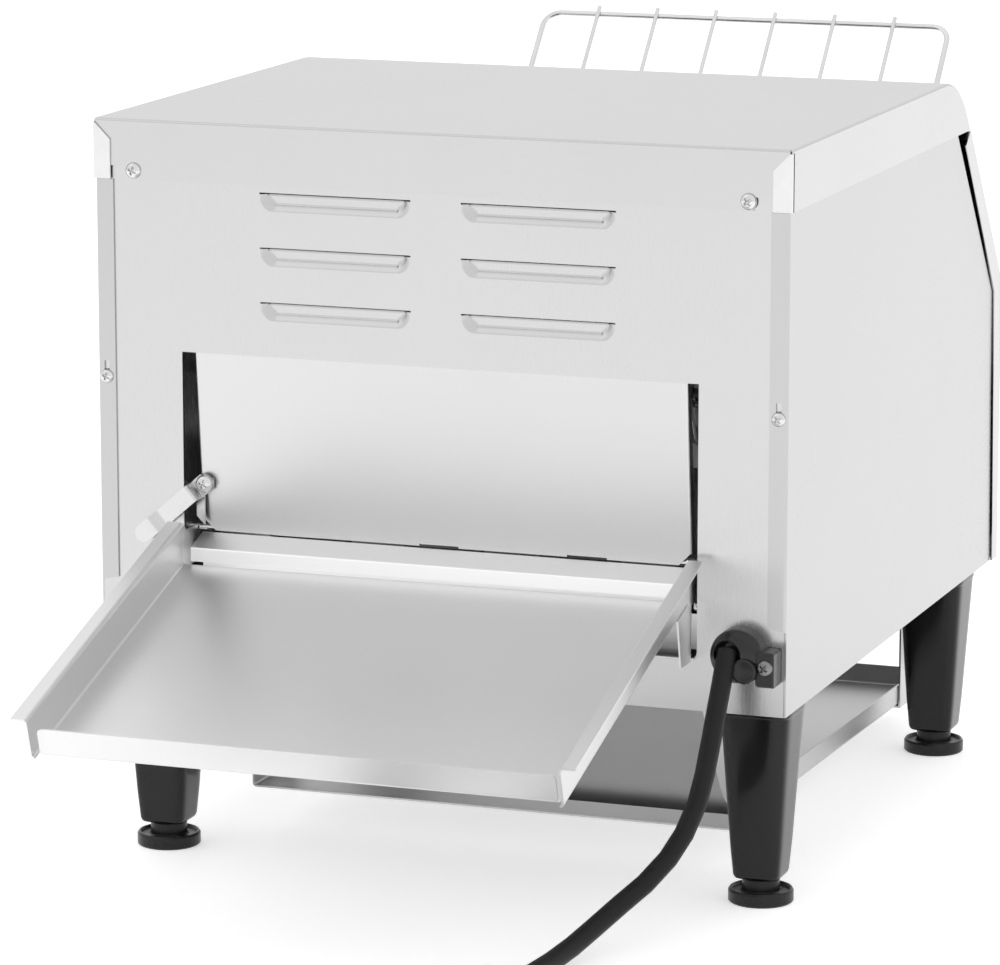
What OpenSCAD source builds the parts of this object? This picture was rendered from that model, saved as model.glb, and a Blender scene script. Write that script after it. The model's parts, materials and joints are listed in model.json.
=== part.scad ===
// Conveyor toaster: folded steel case on four legs, wire-rung belt between two
// heater banks, curved chute with a tipping deflector, a catch tray under the
// case and a second tray hooked into the rear opening.
// Rear face at y = 0 before placing, front towards -Y, floor at z = 0, millimetres.

/* [Case] */
// Width over the top cover
case_w = 368; // [350:1:390]
// Depth from the rear face to the control face
case_d = 408; // [395:1:425]
// Height of the top above the floor
case_top = 384; // [376:1:396]
// Height of the underside above the floor
case_base = 103; // [98:1:108]
// Thickness of the outer sheets
skin = 1; // [0.8:0.1:1.2]
// Gap between lapped sheets
lap = 0.1; // [0.05:0.05:0.2]
// Drop of the cover's hanging flange
cover_drop = 30.6; // [26:0.2:34]
// Radius of the cover's front nose
nose_r = 60; // [50:1:66]
// Angle of the feed face from level
face_slope = 52; // [50:1:55]
// Height of the fold between control face and feed face
bend_z = 260; // [256:1:262]
// Width of the strips folded round the rear corners
wrap_w = 9.5; // [8:0.5:12]
// Height at which those strips end
wrap_end_z = 148; // [142:1:154]
// Width of the front panel's side flange beside the feed face
seam_top = 12; // [10:0.5:14]
// Width of that flange at the fold
seam_bend = 16.5; // [15:0.5:18]
// Width of that flange at the bottom
seam_foot = 10.5; // [9:0.5:12]
// Dark gap behind the flange, at its top
seam_gap = 8; // [5:0.5:10]

/* [Rear face] */
// Width of the bay on each side of the toasting chamber
side_bay = 47; // [44:1:52]
// Bottom edge of the rear opening
bay_z0 = 129.2; // [126:0.2:132]
// Top edge of the rear opening
bay_z1 = 266.8; // [262:0.2:268]
// Length of a louvre
louvre_l = 80.7; // [70:0.1:84]
// Height of a louvre
louvre_h = 9.5; // [8:0.5:11]
// Depth of a louvre's pocket
louvre_d = 4.5; // [3:0.5:5]
// Distance between louvre rows
louvre_pitch = 27.7; // [24:0.1:29]
// Height of the top louvres' upper edge
louvre_top = 350; // [346:0.5:351]
// Half the distance between the louvre columns
louvre_x = 13.3; // [12:0.1:16]

/* [Belt] */
// Distance between belt rungs
rung_pitch = 18; // [17:0.5:18]
// Teeth on a belt sprocket
belt_teeth = 8; // [8]
// Diameter of a rung
rung_d = 2.5; // [2:0.1:3]
// Diameter of the belt shafts
shaft_d = 10; // [9:0.5:11]
// Height of the belt shafts
belt_z = 245; // [243:0.5:246]
// Distance of the rear shaft from the rear face
belt_rear = 85; // [84:1:88]
// Running gap round shafts and pins
run_fit = 0.05; // [0.03:0.01:0.08]

/* [Drive] */
// Pitch of the drive chain
chain_pitch = 8; // [8]
// Teeth on the driven sprocket
driven_teeth = 20; // [20]
// Teeth on the motor sprocket
motor_teeth = 10; // [10]
// Links in the chain
chain_links = 44; // [44]
// Direction from the rear shaft to the motor, from the rear towards down
motor_dir = 228.6; // [226:0.2:231]

/* [Heat] */
// Diameter of a heater tube
tube_d = 10; // [8:0.5:11]
// Distance between heater tubes
tube_pitch = 80; // [70:1:84]
// Height of the upper heater tubes
upper_z = 322; // [320:0.5:325]
// Height of the lower heater tubes
lower_z = 246; // [244:0.5:248]
// Height of the reflector's sheet
reflector_z = 342; // [339:0.5:344]
// Height of the chamber floor
floor_z = 205; // [203:0.5:208]
// Distance of the bulkhead from the rear face
bulkhead_y = 95; // [94:0.5:98]

/* [Deflector] */
// Diameter of the deflector's rod
rod_d = 4; // [3.5:0.1:4.5]
// Distance of that rod behind the rear face
rod_y = 15.5; // [15:0.1:16]
// Height of that rod
rod_z = 174.6; // [174.2:0.1:175]
// Height of the deflector plate above its rod
plate_h = 97.6; // [95:0.2:99]
// Length of the deflector's side flanges
plate_rim = 4; // [3:0.5:5]

/* [Latch] */
// Height of the latch pivot
latch_z = 198.5; // [197:0.5:200]
// Length of the latch lever
latch_l = 43.5; // [40:0.5:46]
// Width of the latch lever
latch_w = 9.4; // [8:0.2:10]
// Angle of the resting lever below level
latch_rest = 41; // [38:1:44]

/* [Rear tray] */
// Thickness of tray and chute sheets
tray_t = 1; // [0.8:0.1:1.2]
// Level distance that the rear tray reaches out
tray_reach = 196; // [180:1:210]
// Height of the tray floor at its inner end
tray_z = 159; // [157:0.2:160]
// Slope of the tray floor
tray_slope = 17.3; // [15:0.1:19]
// Level height of the tray's walls
tray_wall = 21.5; // [19:0.5:23]
// Width of the tray's side flanges
tray_flange = 8.5; // [6:0.5:9.5]
// Height of the lip at the tray's outer end
tray_lip = 14; // [11:0.5:15]
// Underside of the rails that carry the tray
rail_z0 = 157; // [156.5:0.1:157.4]
// Top side of those rails
rail_z1 = 176; // [175:0.1:176.4]
// Reach of those rails behind the rear face
rail_in = 16; // [15:0.5:17]

/* [Toast tray] */
// Distance of its inner end from the rear face
catch_in = 78; // [74:1:82]
// How far the toast tray stands out in front of the case
catch_out = 32; // [20:1:40]
// Height of its underside at the inner end
catch_z = 22.1; // [21:0.1:24]
// Slope of its floor towards the front
catch_slope = 1.1; // [0.8:0.1:1.4]
// Height of its walls
catch_wall = 12; // [10:0.5:15]

/* [Legs] */
// Distance of the rear legs from the rear face
leg_rear = 34; // [30:1:38]
// Distance of the front legs from the front of the case
leg_fore = 46; // [40:1:60]
// Distance of the legs from the sides of the case
leg_in = 22.5; // [22:0.5:30]
// Width of a leg at its top
leg_top = 37; // [34:0.5:38]
// Width of a leg at its foot
leg_low = 24.5; // [22:0.5:27]
// Height of a leg's lower end above the floor
leg_z = 13; // [12:0.5:15]
// Diameter of a foot
foot_d = 33; // [30:0.5:35]
// Thickness of a foot
foot_h = 7; // [6:0.5:8]
// Diameter of the foot's neck
neck_d = 19; // [17:0.5:20]
// Diameter of the foot's stem
stem_d = 8; // [7:0.5:9]

/* [Feed rack] */
// Length of the rack
rack_l = 161.4; // [150:0.2:170]
// Lean of the rack from upright
rack_lean = 42.4; // [41:0.2:46]
// Distance between the rack's inner wires
rack_pitch = 36; // [33:0.5:36]
// Diameter of the rack's frame wire
rack_d = 3.4; // [3:0.1:3.8]

/* [Controls] */
// Distance of a knob from the middle
knob_x = 80; // [75:1:90]
// Height of the knobs
knob_z = 178; // [172:1:180]
// Diameter of a knob
knob_d = 38; // [34:1:42]
// Height of a knob
knob_h = 18; // [15:1:22]
// Diameter of a control spindle
spindle_d = 6; // [5:0.5:6.5]

/* [Cord] */
// Diameter of the power cord
cord_d = 10; // [8:0.5:10]
// Height of the gland
gland_z = 134.5; // [132:0.5:139]
// Diameter of the gland's base
gland_d = 27; // [25:0.5:28]
// Mean radius of the coil of cord
coil_r = 55; // [50:1:60]

/* [Hidden] */
$fn = 48;

// A hair more than the cut needs, so that no skin is left on a cut face
eps = 0.5;
// Gap between a moving piece and what it passes
air = 0.3;
// How far one part of a sheet runs into the next, to make one solid
weld = 0.2;
// Gap of a part that is pushed on and stays
tight = 0.02;
// A strip between two round ends is a hair narrower than they are
sink = 0.9996;

// --- Case ---
cover_x = case_w / 2;
side_x = cover_x - skin - lap;             // outer face of the side panels
inset_x = side_x - skin - lap;             // what fits between the side panels
rear_1 = skin + lap;                       // cover flange and wrap strips, behind the tabs
rear_2 = 2 * (skin + lap);                 // outer face of the rear panel
rear_in = rear_2 + skin;                   // inner face of the rear panel
flange_z = case_top - cover_drop;
tab_z = case_top - 2;                      // top of the tabs at the cover's rear corners
cover_screw_x = cover_x - 22;
cover_screw_z = flange_z + 4.6;
slot_fit = 0.2;                            // round a screw in its slot
// A point on the feed face: s up the slope from the fold, d in from the face
function face_pt(s, d) = [-case_d + s * cos(face_slope) + d * sin(face_slope),
                          bend_z + s * sin(face_slope) - d * cos(face_slope)];
// The fold itself, d in from both faces
function fold_pt(d) = [-case_d + d, bend_z - d * tan(45 - face_slope / 2)];
// Distance up the slope at which the face, d in, reaches a height
function face_s(z, d) = (z - bend_z + d * cos(face_slope)) / sin(face_slope);
face_end = face_s(flange_z, 0);
nose_s = face_s(case_top - nose_r + nose_r * cos(face_slope), 0);
nose_c = face_pt(nose_s, nose_r);
pan_z = case_base + skin;
wall_t = 1;
bay_w = case_w - 2 * side_bay;             // the toasting chamber and the rear opening
wall_x = bay_w / 2;                        // inner face of the inner walls
wall_out = wall_x + wall_t;
liner_x = wall_x - lap;                    // what fits between the inner walls
wall_d = 3 * lap + 2 * skin;               // the inner walls' inset behind the front sheets
wall_rear = rear_in + skin + 2 * lap;      // and in front of the rear panel and the pan's rim
wall_z1 = reflector_z + 2;
drop_x = wall_x - 4;                       // half width of the drop hole in the base pan
// Openings of the feed face
feed_x = wall_x - 9;
feed_s0 = 12;
feed_s1 = face_end - 8;

// --- Belt ---
belt_r = rung_pitch / 2 / sin(180 / belt_teeth);
belt_w = bay_w - 26;
belt_span = floor((case_d - 120) / rung_pitch);   // rungs on each straight run
front_y = -belt_rear - belt_span * rung_pitch;
bush_d = shaft_d + 4;
belt_links_x = [10 - belt_w / 2, -41, 41, belt_w / 2 - 10];
belt_link_d = 2.2;
sprocket_x = [-76, 76];

// --- Drive ---
chain_x = wall_out + 12;
driven_r = chain_pitch / 2 / sin(180 / driven_teeth);
motor_r = chain_pitch / 2 / sin(180 / motor_teeth);
chain_l = chain_links * chain_pitch - PI * (driven_r + motor_r);
chain_c = (chain_l + sqrt(chain_l * chain_l - 8 * pow(driven_r - motor_r, 2))) / 4;
motor_y = -belt_rear + chain_c * cos(motor_dir);
motor_z = belt_z + chain_c * sin(motor_dir);
roller_r = 2.5;
chain_plate_t = 0.9;
chain_plate_r = 3.2;
chain_waist = 2.2;                         // half height of the outer plates
chain_gap = 5.6;                           // between the chain's side plates
motor_shaft_d = 8;

// --- Heat ---
tube_mid_y = (front_y - belt_rear) / 2 + 5;
cap_d = tube_d + 3.4;
cap_bore = tube_d / 2 + run_fit;
function tube_y(i) = tube_mid_y + i * tube_pitch;

// --- Deflector and latch ---
plate_w = bay_w - 12;
plate_t = 1;
knuckle_r = rod_d / 2 + run_fit + plate_t;
plate_y = knuckle_r - plate_t;             // the plate's inner face, tangent to its rod's bore
plate_tilt = asin((rod_y - rear_in - air - knuckle_r) / plate_h);
plate_drop = 0.9;                          // how far it reaches below the rod's middle
latch_x = wall_x - 9.5;
latch_t = 1.2;
latch_y = -6.5;                            // outer face of the lever's hub
latch_out = 1.6;                           // outer face of the lever's main strip
latch_tip_y = 4.4;                         // outer face of the lever's tip
bracket_y = latch_y - latch_t - air;       // outer face of the latch bracket
screw_d = 4;
pan_r = 4.6;                               // head radius of the latch screw

// --- Rear tray and chute ---
slope_tan = tan(tray_slope);
tray_y0 = 6;
function tray_floor(y) = tray_z - (y - tray_y0) * slope_tan;
function tray_top(y) = tray_floor(y) + tray_wall;
tray_x = wall_x - 3;
tray_side = tray_x + tray_t;
stud_r = 2;
stud_l = 2.4;
chute_x = wall_x - 6.5;
sill_y = 5;
sill_z = 167.5;
sill_in = 11;
sill_rise = 5.5;
chute_bend_z = 128;
chute_slope = 57;
chute_low_slope = 36;
chute_arc_r = 86;
chute_arc_z = 57;
chute_end_z = 28;

// --- Toast tray ---
catch_x = wall_x - 4.5;
catch_len = (case_d + catch_out - catch_in) / cos(catch_slope);
hanger_y = [-130, 6 - case_d];
hanger_w = 22;
hanger_t = 1;
hanger_foot = 7;

// --- Legs ---
leg_x = cover_x - leg_in;
leg_front = case_d - leg_fore;
stem_l = 42;
bolt_d = 8;
bolt_in = 30;
collar_h = 5;
function leg_y(front) = front ? -leg_front : -leg_rear;

// --- Feed rack ---
rack_y = face_pt(8, -4)[0];
rack_z = face_pt(8, -4)[1];
wire_d = 2.5;
rack_x = wall_x - 14;
ear_x = rack_x + rack_d / 2 + air;         // inner face of the rack's brackets
ear_t = 2;
stop_y = rack_d / 2 + air / 2;
rack_n = 3;                                // inner wires on each side of the middle
rack_r = 10;

// --- Cord ---
cord_r = cord_d / 2;
gland_x = (wall_out + side_x) / 2;
gland_r = gland_d / 2;
gland_bore = 8;                            // neck radius
neck_in = 9;
nut_t = 5;
dome_y = 13;                               // how far the gland stands behind the case
mouth_x = 3;
mouth_z = 0.5;
mouth_r = 6.8;
mouth_in = 4;
clamp_x = 20;
// From the gland's mouth down to the floor and into the coil
route = [[-156.8, 10, 137.5], [-156.6, 14.5, 130.5], [-156.4, 19, 122], [-156, 23.6, 113],
         [-155.2, 30, 98], [-153.3, 34.6, 81], [-150.9, 39, 67], [-146.3, 45, 53],
         [-140.8, 53, 42], [-132.7, 64, 31.5], [-123.7, 75, 23], [-115.8, 90, 15],
         [-110.3, 107, 9.5], [-105.9, 124, 6.3], [-102, 150, 5.2], [-101, 180, 5.2],
         [-102.3, 202, 5.2], [-105.5, 225, 5.2], [-108.7, 248, 5.2]];
coil_c = [-50, 270];
coil_w = 2 * cord_d;
// From the coil's upper turn to the plug
plug_at = [56, 326, 18.5];
tail = [[-50, 330, 15.2], [-41, 330, 15.2], [-32, 330, 15.2], [-22, 330, 13.95],
        [-12, 329.8, 10.2], [-2, 329.3, 6.45], [8, 328.6, 5.2], [20, 327.7, 6.9],
        [32, 326.8, 11.85], [44, 326.2, 16.8], plug_at];
plug_pin_d = 4.8;
plug_pin_y = 9.5;                          // half the distance between the pins
plug_pin_l = 20;
plug_face = 48;                            // front face of the plug's body

// --- Placing ---
rack_top = -rack_y + rack_l * sin(rack_lean) + rack_d / 2;
place_y = (rack_top - tray_reach) / 2;

module placed() translate([0, place_y, 0]) children();

// A box between two corners
module block(x0, x1, y0, y1, z0, z1)
    translate([x0, y0, z0]) cube([x1 - x0, y1 - y0, z1 - z0]);

// A profile drawn in y and z, from x0 to x1
module yz(x0, x1)
    translate([x0, 0, 0]) rotate([90, 0, 90]) linear_extrude(x1 - x0) children();

// A profile drawn in x and z, from y0 to y1
module xz(y0, y1)
    translate([0, y1, 0]) rotate([90, 0, 0]) linear_extrude(y1 - y0) children();

// A round bar along x, y or z
module bar_x(x0, x1, y, z, r) translate([x0, y, z]) rotate([0, 90, 0]) cylinder(h = x1 - x0, r = r);
module bar_y(x, y0, y1, z, r) translate([x, y1, z]) rotate([90, 0, 0]) cylinder(h = y1 - y0, r = r);
module bar_z(x, y, z0, z1, r) translate([x, y, z0]) cylinder(h = z1 - z0, r = r);

// A slot with round ends, between two points of a plane
module slot2d(x0, x1, z, h) {
    translate([x0 + h / 2, z - h / 2]) square([x1 - x0 - h, h]);
    for (x = [x0 + h / 2, x1 - h / 2])
        translate([x, z]) circle(h / 2);
}

// A pan-head screw with a cross recess; head towards +Y, seated at y
module screw_y(x, y, z, r, l) {
    difference() {
        union() {
            bar_y(x, y, y + r * 0.62, z, r);
            bar_y(x, y - l, y, z, screw_d / 2);
        }
        for (a = [0, 90])
            translate([x, y + r * 0.62, z]) rotate([0, a + 20, 0])
                cube([r * 1.1, r * 0.5, r * 0.26], center = true);
    }
}

// Side view of the space under the cover's outline, d in from it and open at the bottom
module cover_space(d, low) {
    tangent = face_pt(nose_s, d);
    polygon([[nose_c[0], low], [-rear_1 - d, low], [-rear_1 - d, case_top - d],
             [nose_c[0], case_top - d]]);
    intersection() {
        translate(nose_c) circle(nose_r - d, $fn = 96);
        translate([nose_c[0] - nose_r, low]) square([nose_r, case_top - low]);
    }
    polygon([tangent, face_pt(face_s(low, d), d), [nose_c[0], low], [nose_c[0], tangent[1]]]);
}

module top_cover() color("gainsboro") placed() {
    cut_low = flange_z - eps;
    difference() {
        yz(-cover_x, cover_x) cover_space(0, flange_z);
        yz(-cover_x + skin, cover_x - skin) cover_space(skin, cut_low);
        for (s = [-1, 1])
            xz(-rear_1 - skin - eps, -rear_1 + eps)
                translate([s * (cover_screw_x), 0]) cover_slot();
    }
    for (s = [-1, 1])
        mirror([s < 0 ? 1 : 0, 0, 0]) {
            block(cover_x - skin, cover_x, -rear_1 - skin, 0, flange_z, tab_z);
            xz(-skin, 0)
                polygon([[cover_x, flange_z], [cover_x, tab_z],
                         [cover_x - wrap_w, tab_z - wrap_w],
                         [cover_x - wrap_w, flange_z]]);
        }
}
module cover_slot() {
    slot_w = screw_d + 2 * slot_fit;
    translate([-slot_w / 2, flange_z - eps]) square([slot_w, cover_screw_z - flange_z + eps]);
    translate([0, cover_screw_z]) circle(slot_w / 2);
}

// The rear panel's pressed louvres: sloped pockets, open along their upper edges
module louvre_places()
    for (s = [-1, 1])
        for (i = [0:2])
            translate([s < 0 ? -louvre_x - louvre_l : louvre_x, 0,
                       louvre_top - louvre_h / 2 - i * louvre_pitch]) children();
module louvre_hole()
    xz(-rear_in - eps, -rear_2 + eps) slot2d(0, louvre_l, 0, louvre_h);
module louvre_wedge(d)
    intersection() {
        xz(-rear_2 - louvre_d - d, -rear_2) slot2d(-d, louvre_l + d, 0, louvre_h + 2 * d);
        yz(-d, louvre_l + d)
            polygon([[-rear_2, -louvre_h / 2 - d], [-rear_2, louvre_h / 2 + d],
                     [-rear_2 - louvre_d - d, louvre_h / 2 + d],
                     [-rear_2 - louvre_d - d, louvre_h / 2 - 2.5],
                     [-rear_2 - skin * 0.4 - d, -louvre_h / 2 - d]]);
    }
module louvre_pocket()
    difference() {
        louvre_wedge(skin);
        louvre_wedge(0);
        block(2, louvre_l - 2, -rear_2 - louvre_d - 2 * skin, -rear_in - 0.4,
              louvre_h / 2 - 3.2, louvre_h / 2 + skin + eps);
    }

module rear_panel() color("silver") placed() {
    difference() {
        xz(-rear_in, -rear_2) difference() {
            translate([-inset_x, case_base]) square([2 * inset_x, case_top - rear_1 - lap - case_base]);
            bay_outline();
            for (s = [-1, 1]) {
                translate([s * (cover_screw_x), cover_screw_z]) circle(screw_d / 2 + run_fit);
                translate([s * panel_screw_x, panel_screw_z]) circle(screw_d / 2 + run_fit);
            }
            translate([-gland_x, gland_z]) circle(gland_bore + run_fit);
        }
        louvre_places() louvre_hole();
    }
    difference() {
        louvre_places() louvre_pocket();
        xz(-rear_2 - eps, 0) bay_outline();
    }
}
panel_screw_x = side_x - wrap_w / 2;
panel_screw_z = 252;
bay_r = 4;
keyhole_w = 2.8;
keyhole_l = 8;
module bay_outline() {
    translate([-wall_x, bay_z0 + bay_r]) square([bay_w, bay_z1 - bay_z0 - bay_r]);
    translate([-wall_x + bay_r, bay_z0]) square([bay_w - 2 * bay_r, bay_r + eps]);
    for (s = [-1, 1])
        translate([s * (wall_x - bay_r), bay_z0 + bay_r]) circle(bay_r);
}

// Side panel: slanted front edge and a strip folded round the rear corner
module side_panel(s) mirror([s < 0 ? 1 : 0, 0, 0]) {
    seam_a = face_pt(face_end, seam_top);
    seam_b = [-case_d + seam_bend, bend_z - 3];
    edge_a = seam_a + [seam_gap, 0];
    edge_b = seam_b + [1.2, 0];
    edge_slope = (edge_a[0] - edge_b[0]) / (edge_a[1] - edge_b[1]);
    top_z = case_top - skin - lap - 1;
    edge_top = [edge_a[0] + (top_z - edge_a[1]) * edge_slope, top_z];
    edge_c = [-case_d + seam_foot + 1, case_base];
    yz(side_x - skin, side_x)
        polygon([edge_top, edge_b, edge_c, [-rear_1, case_base], [-rear_1, flange_z - air],
                 [-rear_1 - skin - lap, flange_z - air], [-rear_1 - skin - lap, top_z]]);
    difference() {
        xz(-rear_1 - skin, -rear_1)
            polygon([[side_x, wrap_end_z - 2], [side_x - wrap_w, wrap_end_z],
                     [side_x - wrap_w, flange_z - air], [side_x, flange_z - air]]);
        // keyhole slot for the rear screw
        bar_y(panel_screw_x, -rear_1 - skin - eps, eps, panel_screw_z, screw_d / 2 + slot_fit);
        block(panel_screw_x - keyhole_w / 2, panel_screw_x + keyhole_w / 2, -rear_1 - skin - eps, eps,
              panel_screw_z, panel_screw_z + keyhole_l);
    }
}
module side_panel_left() color("gainsboro") placed() side_panel(1);
module side_panel_right() color("gainsboro") placed() side_panel(-1);

// Front panel: control face, feed face with its opening, side flanges and a tongue under the cover
module front_panel() color("silver") placed() {
    d1 = lap + skin;
    top = face_end - lap / sin(face_slope);
    lip = feed_s0 - skin / 2;
    mid = lap + skin / 2;
    difference() {
        union() {
            yz(-cover_x, cover_x)
                polygon([fold_pt(lap), face_pt(top, lap), face_pt(top, d1), fold_pt(d1),
                         [-case_d + d1, case_base], [-case_d + lap, case_base]]);
            yz(tongue_in - cover_x, cover_x - tongue_in)
                polygon([face_pt(top - tongue_root, mid), face_pt(top - skin, mid),
                         face_pt(top - skin, d1), face_pt(top + tongue_l, d1),
                         face_pt(top + tongue_l, d1 + skin), face_pt(top - tongue_root, d1 + skin)]);
            for (s = [-1, 1])
                mirror([s < 0 ? 1 : 0, 0, 0])
                    yz(cover_x - skin, cover_x)
                        polygon([fold_pt(lap), face_pt(top, lap), face_pt(top, seam_top),
                                 [-case_d + seam_bend, bend_z - 3],
                                 [-case_d + seam_foot, case_base], [-case_d + lap, case_base]]);
        }
        feed_hole();
        for (s = [-1, 1]) {
            bar_y(s * knob_x, -case_d - eps, panel_in + eps, knob_z, spindle_d / 2 + run_fit);
            bar_y(s * lamp_x, -case_d - eps, panel_in + eps, knob_z, lamp_r + run_fit);
        }
    }
    // bread guide at the lower edge of the feed opening
    yz(-feed_x, feed_x)
        polygon([face_pt(lip - 2 * skin, mid), face_pt(lip, mid),
                 face_pt(lip, mid) + [guide_in, -guide_fall],
                 face_pt(lip, mid) + [guide_in, -guide_fall - skin]]);
}
tongue_in = 8;                             // tongue under the cover's front edge: inset,
tongue_l = 7;                              // length, and overlap with the front panel
tongue_root = 6;
guide_in = 11;
guide_fall = 1.2;
lamp_x = 22;
lamp_r = 5;
module feed_hole()
    yz(-feed_x, feed_x)
        polygon([face_pt(feed_s0, -2), face_pt(feed_s1, -2), face_pt(feed_s1, lap + skin + 4),
                 face_pt(feed_s0, lap + skin + 4)]);

// Base pan: upturned edges, a drop hole over the chute and rows of vents
module base_pan() color("silver") placed() {
    y0 = -case_d + lap + skin + lap;
    y1 = -rear_in - lap;
    difference() {
        block(-inset_x, inset_x, y0, y1, case_base, case_base + pan_rim);
        block(-inset_x + skin, inset_x - skin, y0 + skin, y1 - skin, pan_z, case_base + pan_rim + eps);
        block(-drop_x, drop_x, -bulkhead_y - lap, 1.5 - sill_in, case_base - eps, pan_z + eps);
        for (s = [-1, 1]) {
            for (front = [false, true])
                bar_z(s * leg_x, leg_y(front), case_base - eps, pan_z + eps, bolt_d / 2 + run_fit);
            for (i = [0:6])
                translate([s * vent_x, -vent_y - i * vent_pitch, case_base - eps])
                    linear_extrude(skin + 2 * eps) slot2d(-vent_l / 2, vent_l / 2, 0, vent_w);
        }
    }
}
pan_rim = 12;
vent_x = 60;
vent_y = 200;                              // first row, from the rear face
vent_pitch = 20;
vent_l = 50;
vent_w = 5;

// Inner wall: carries shafts, heaters, deflector rod and tray studs
module inner_wall(s) mirror([s < 0 ? 1 : 0, 0, 0]) {
    low = pan_z + lap;
    difference() {
        union() {
            yz(wall_x, wall_out)
                polygon([fold_pt(wall_d), face_pt(face_s(wall_z1, wall_d), wall_d),
                         [-wall_rear, wall_z1], [-wall_rear, low], [-case_d + wall_d, low]]);
            block(wall_x, wall_out + 10, -case_d + wall_d, -wall_rear, low, low + wall_t);
            block(wall_x, wall_out + 8, face_pt(face_s(wall_z1, wall_d), wall_d)[0] + 4,
                  -wall_rear, wall_z1 - wall_t, wall_z1);
        }
        for (y = [-belt_rear, front_y])
            bar_x(wall_x - eps, wall_out + eps, y, belt_z, bush_d / 2 + run_fit);
        bar_x(wall_x - eps, wall_out + eps, -rod_y, rod_z, rod_d / 2 + run_fit);
        for (i = [-1:1]) {
            bar_x(wall_x - eps, wall_out + eps, tube_y(i), upper_z, cap_d / 2 + run_fit);
            bar_x(wall_x - eps, wall_out + eps, tube_y(i), lower_z, cap_d / 2 + run_fit);
        }
        if (s > 0)
            bar_x(wall_x - eps, wall_out + eps, motor_y, motor_z, motor_shaft_d / 2 + 1.5);
    }
}
module inner_wall_left() color("silver") placed() inner_wall(1);
module inner_wall_right() color("silver") placed() inner_wall(-1);

module upper_reflector() color("silver") placed() {
    y0 = face_pt(face_s(reflector_z, wall_d), wall_d)[0] + 6;
    y1 = -32;
    block(-liner_x, liner_x, y0, y1, reflector_z, reflector_z + wall_t);
    for (s = [-1, 1])
        mirror([s < 0 ? 1 : 0, 0, 0])
            block(liner_x - wall_t, liner_x, y0, y1, reflector_z - 7, reflector_z + wall_t);
    yz(-liner_x, liner_x)
        polygon([[y1, reflector_z], [y1, reflector_z + wall_t], [y1 + 12, reflector_z - 6],
                 [y1 + 11, reflector_z - 6.6]]);
}

module chamber_floor() color("silver") placed() {
    y0 = -case_d + wall_d + lap;
    low = pan_z + lap;
    yz(-liner_x, liner_x)
        polygon([[-bulkhead_y, low], [-bulkhead_y, floor_z + wall_t], [y0 + wall_t, floor_z + wall_t],
                 [y0 + wall_t, floor_z + 40], [y0, floor_z + 40], [y0, floor_z],
                 [-bulkhead_y - wall_t, floor_z], [-bulkhead_y - wall_t, low]]);
}

// Chute: sill, drop wall, and a slope that curves under the case
function along(a) = [-cos(a), -sin(a)];
function inner(a) = [-sin(a), cos(a)];
chute_low_run = (chute_arc_z - chute_arc_r * (cos(chute_low_slope) - cos(chute_slope)) - chute_end_z)
                / sin(chute_low_slope);
chute_arc_top = [-sill_in, chute_bend_z] + (chute_bend_z - chute_arc_z) / sin(chute_slope) * along(chute_slope);
chute_arc_c = chute_arc_top + chute_arc_r * inner(chute_slope);
chute_arc_low = chute_arc_c - chute_arc_r * inner(chute_low_slope);
module chute_line() {
    t = tray_t;
    top = [-sill_in, sill_z + sill_rise];
    end = chute_arc_low + chute_low_run * along(chute_low_slope);
    arc_top = chute_arc_top + weld * along(chute_slope);
    arc_low = chute_arc_low - weld * along(chute_low_slope);
    polygon([[sill_y, sill_z - 7], [sill_y, sill_z], top + [-t, 0.2], [-sill_in - t, chute_bend_z],
             arc_top + t * inner(chute_slope), arc_top, [-sill_in, chute_bend_z],
             top + [0, -1.2], [sill_y - t, sill_z - 0.8], [sill_y - t, sill_z - 7]]);
    polygon([arc_low, arc_low + t * inner(chute_low_slope),
             end + t * inner(chute_low_slope), end]);
}
module chute_arc()
    intersection() {
        difference() {
            translate(chute_arc_c) circle(chute_arc_r, $fn = 96);
            translate(chute_arc_c) circle(chute_arc_r - tray_t, $fn = 96);
        }
        polygon([chute_arc_c, chute_arc_c - 2 * chute_arc_r * inner(chute_slope),
                 chute_arc_c - 2 * chute_arc_r * inner(chute_low_slope)]);
    }
module chute() color("silver") placed() {
    yz(-chute_x, chute_x) {
        chute_line();
        chute_arc();
    }
    // ears that hang the chute on the inner walls
    for (s = [-1, 1])
        mirror([s < 0 ? 1 : 0, 0, 0]) {
            block(chute_x - 1, liner_x, -sill_in - 1, -sill_in, 132, 150);
            block(liner_x - 1, liner_x, -sill_in - 16, -sill_in, 132, 150);
        }
}

module deflector_rod() color("gray") placed()
    bar_x(-wall_out - 2, wall_out + 2, -rod_y, rod_z, rod_d / 2);

knuckle_l = 28;
plate_slot_x = [-76, 2.5];                  // slots in the plate's lower edge
plate_slot_l = 21;
plate_slot_h = 1.2;
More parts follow.
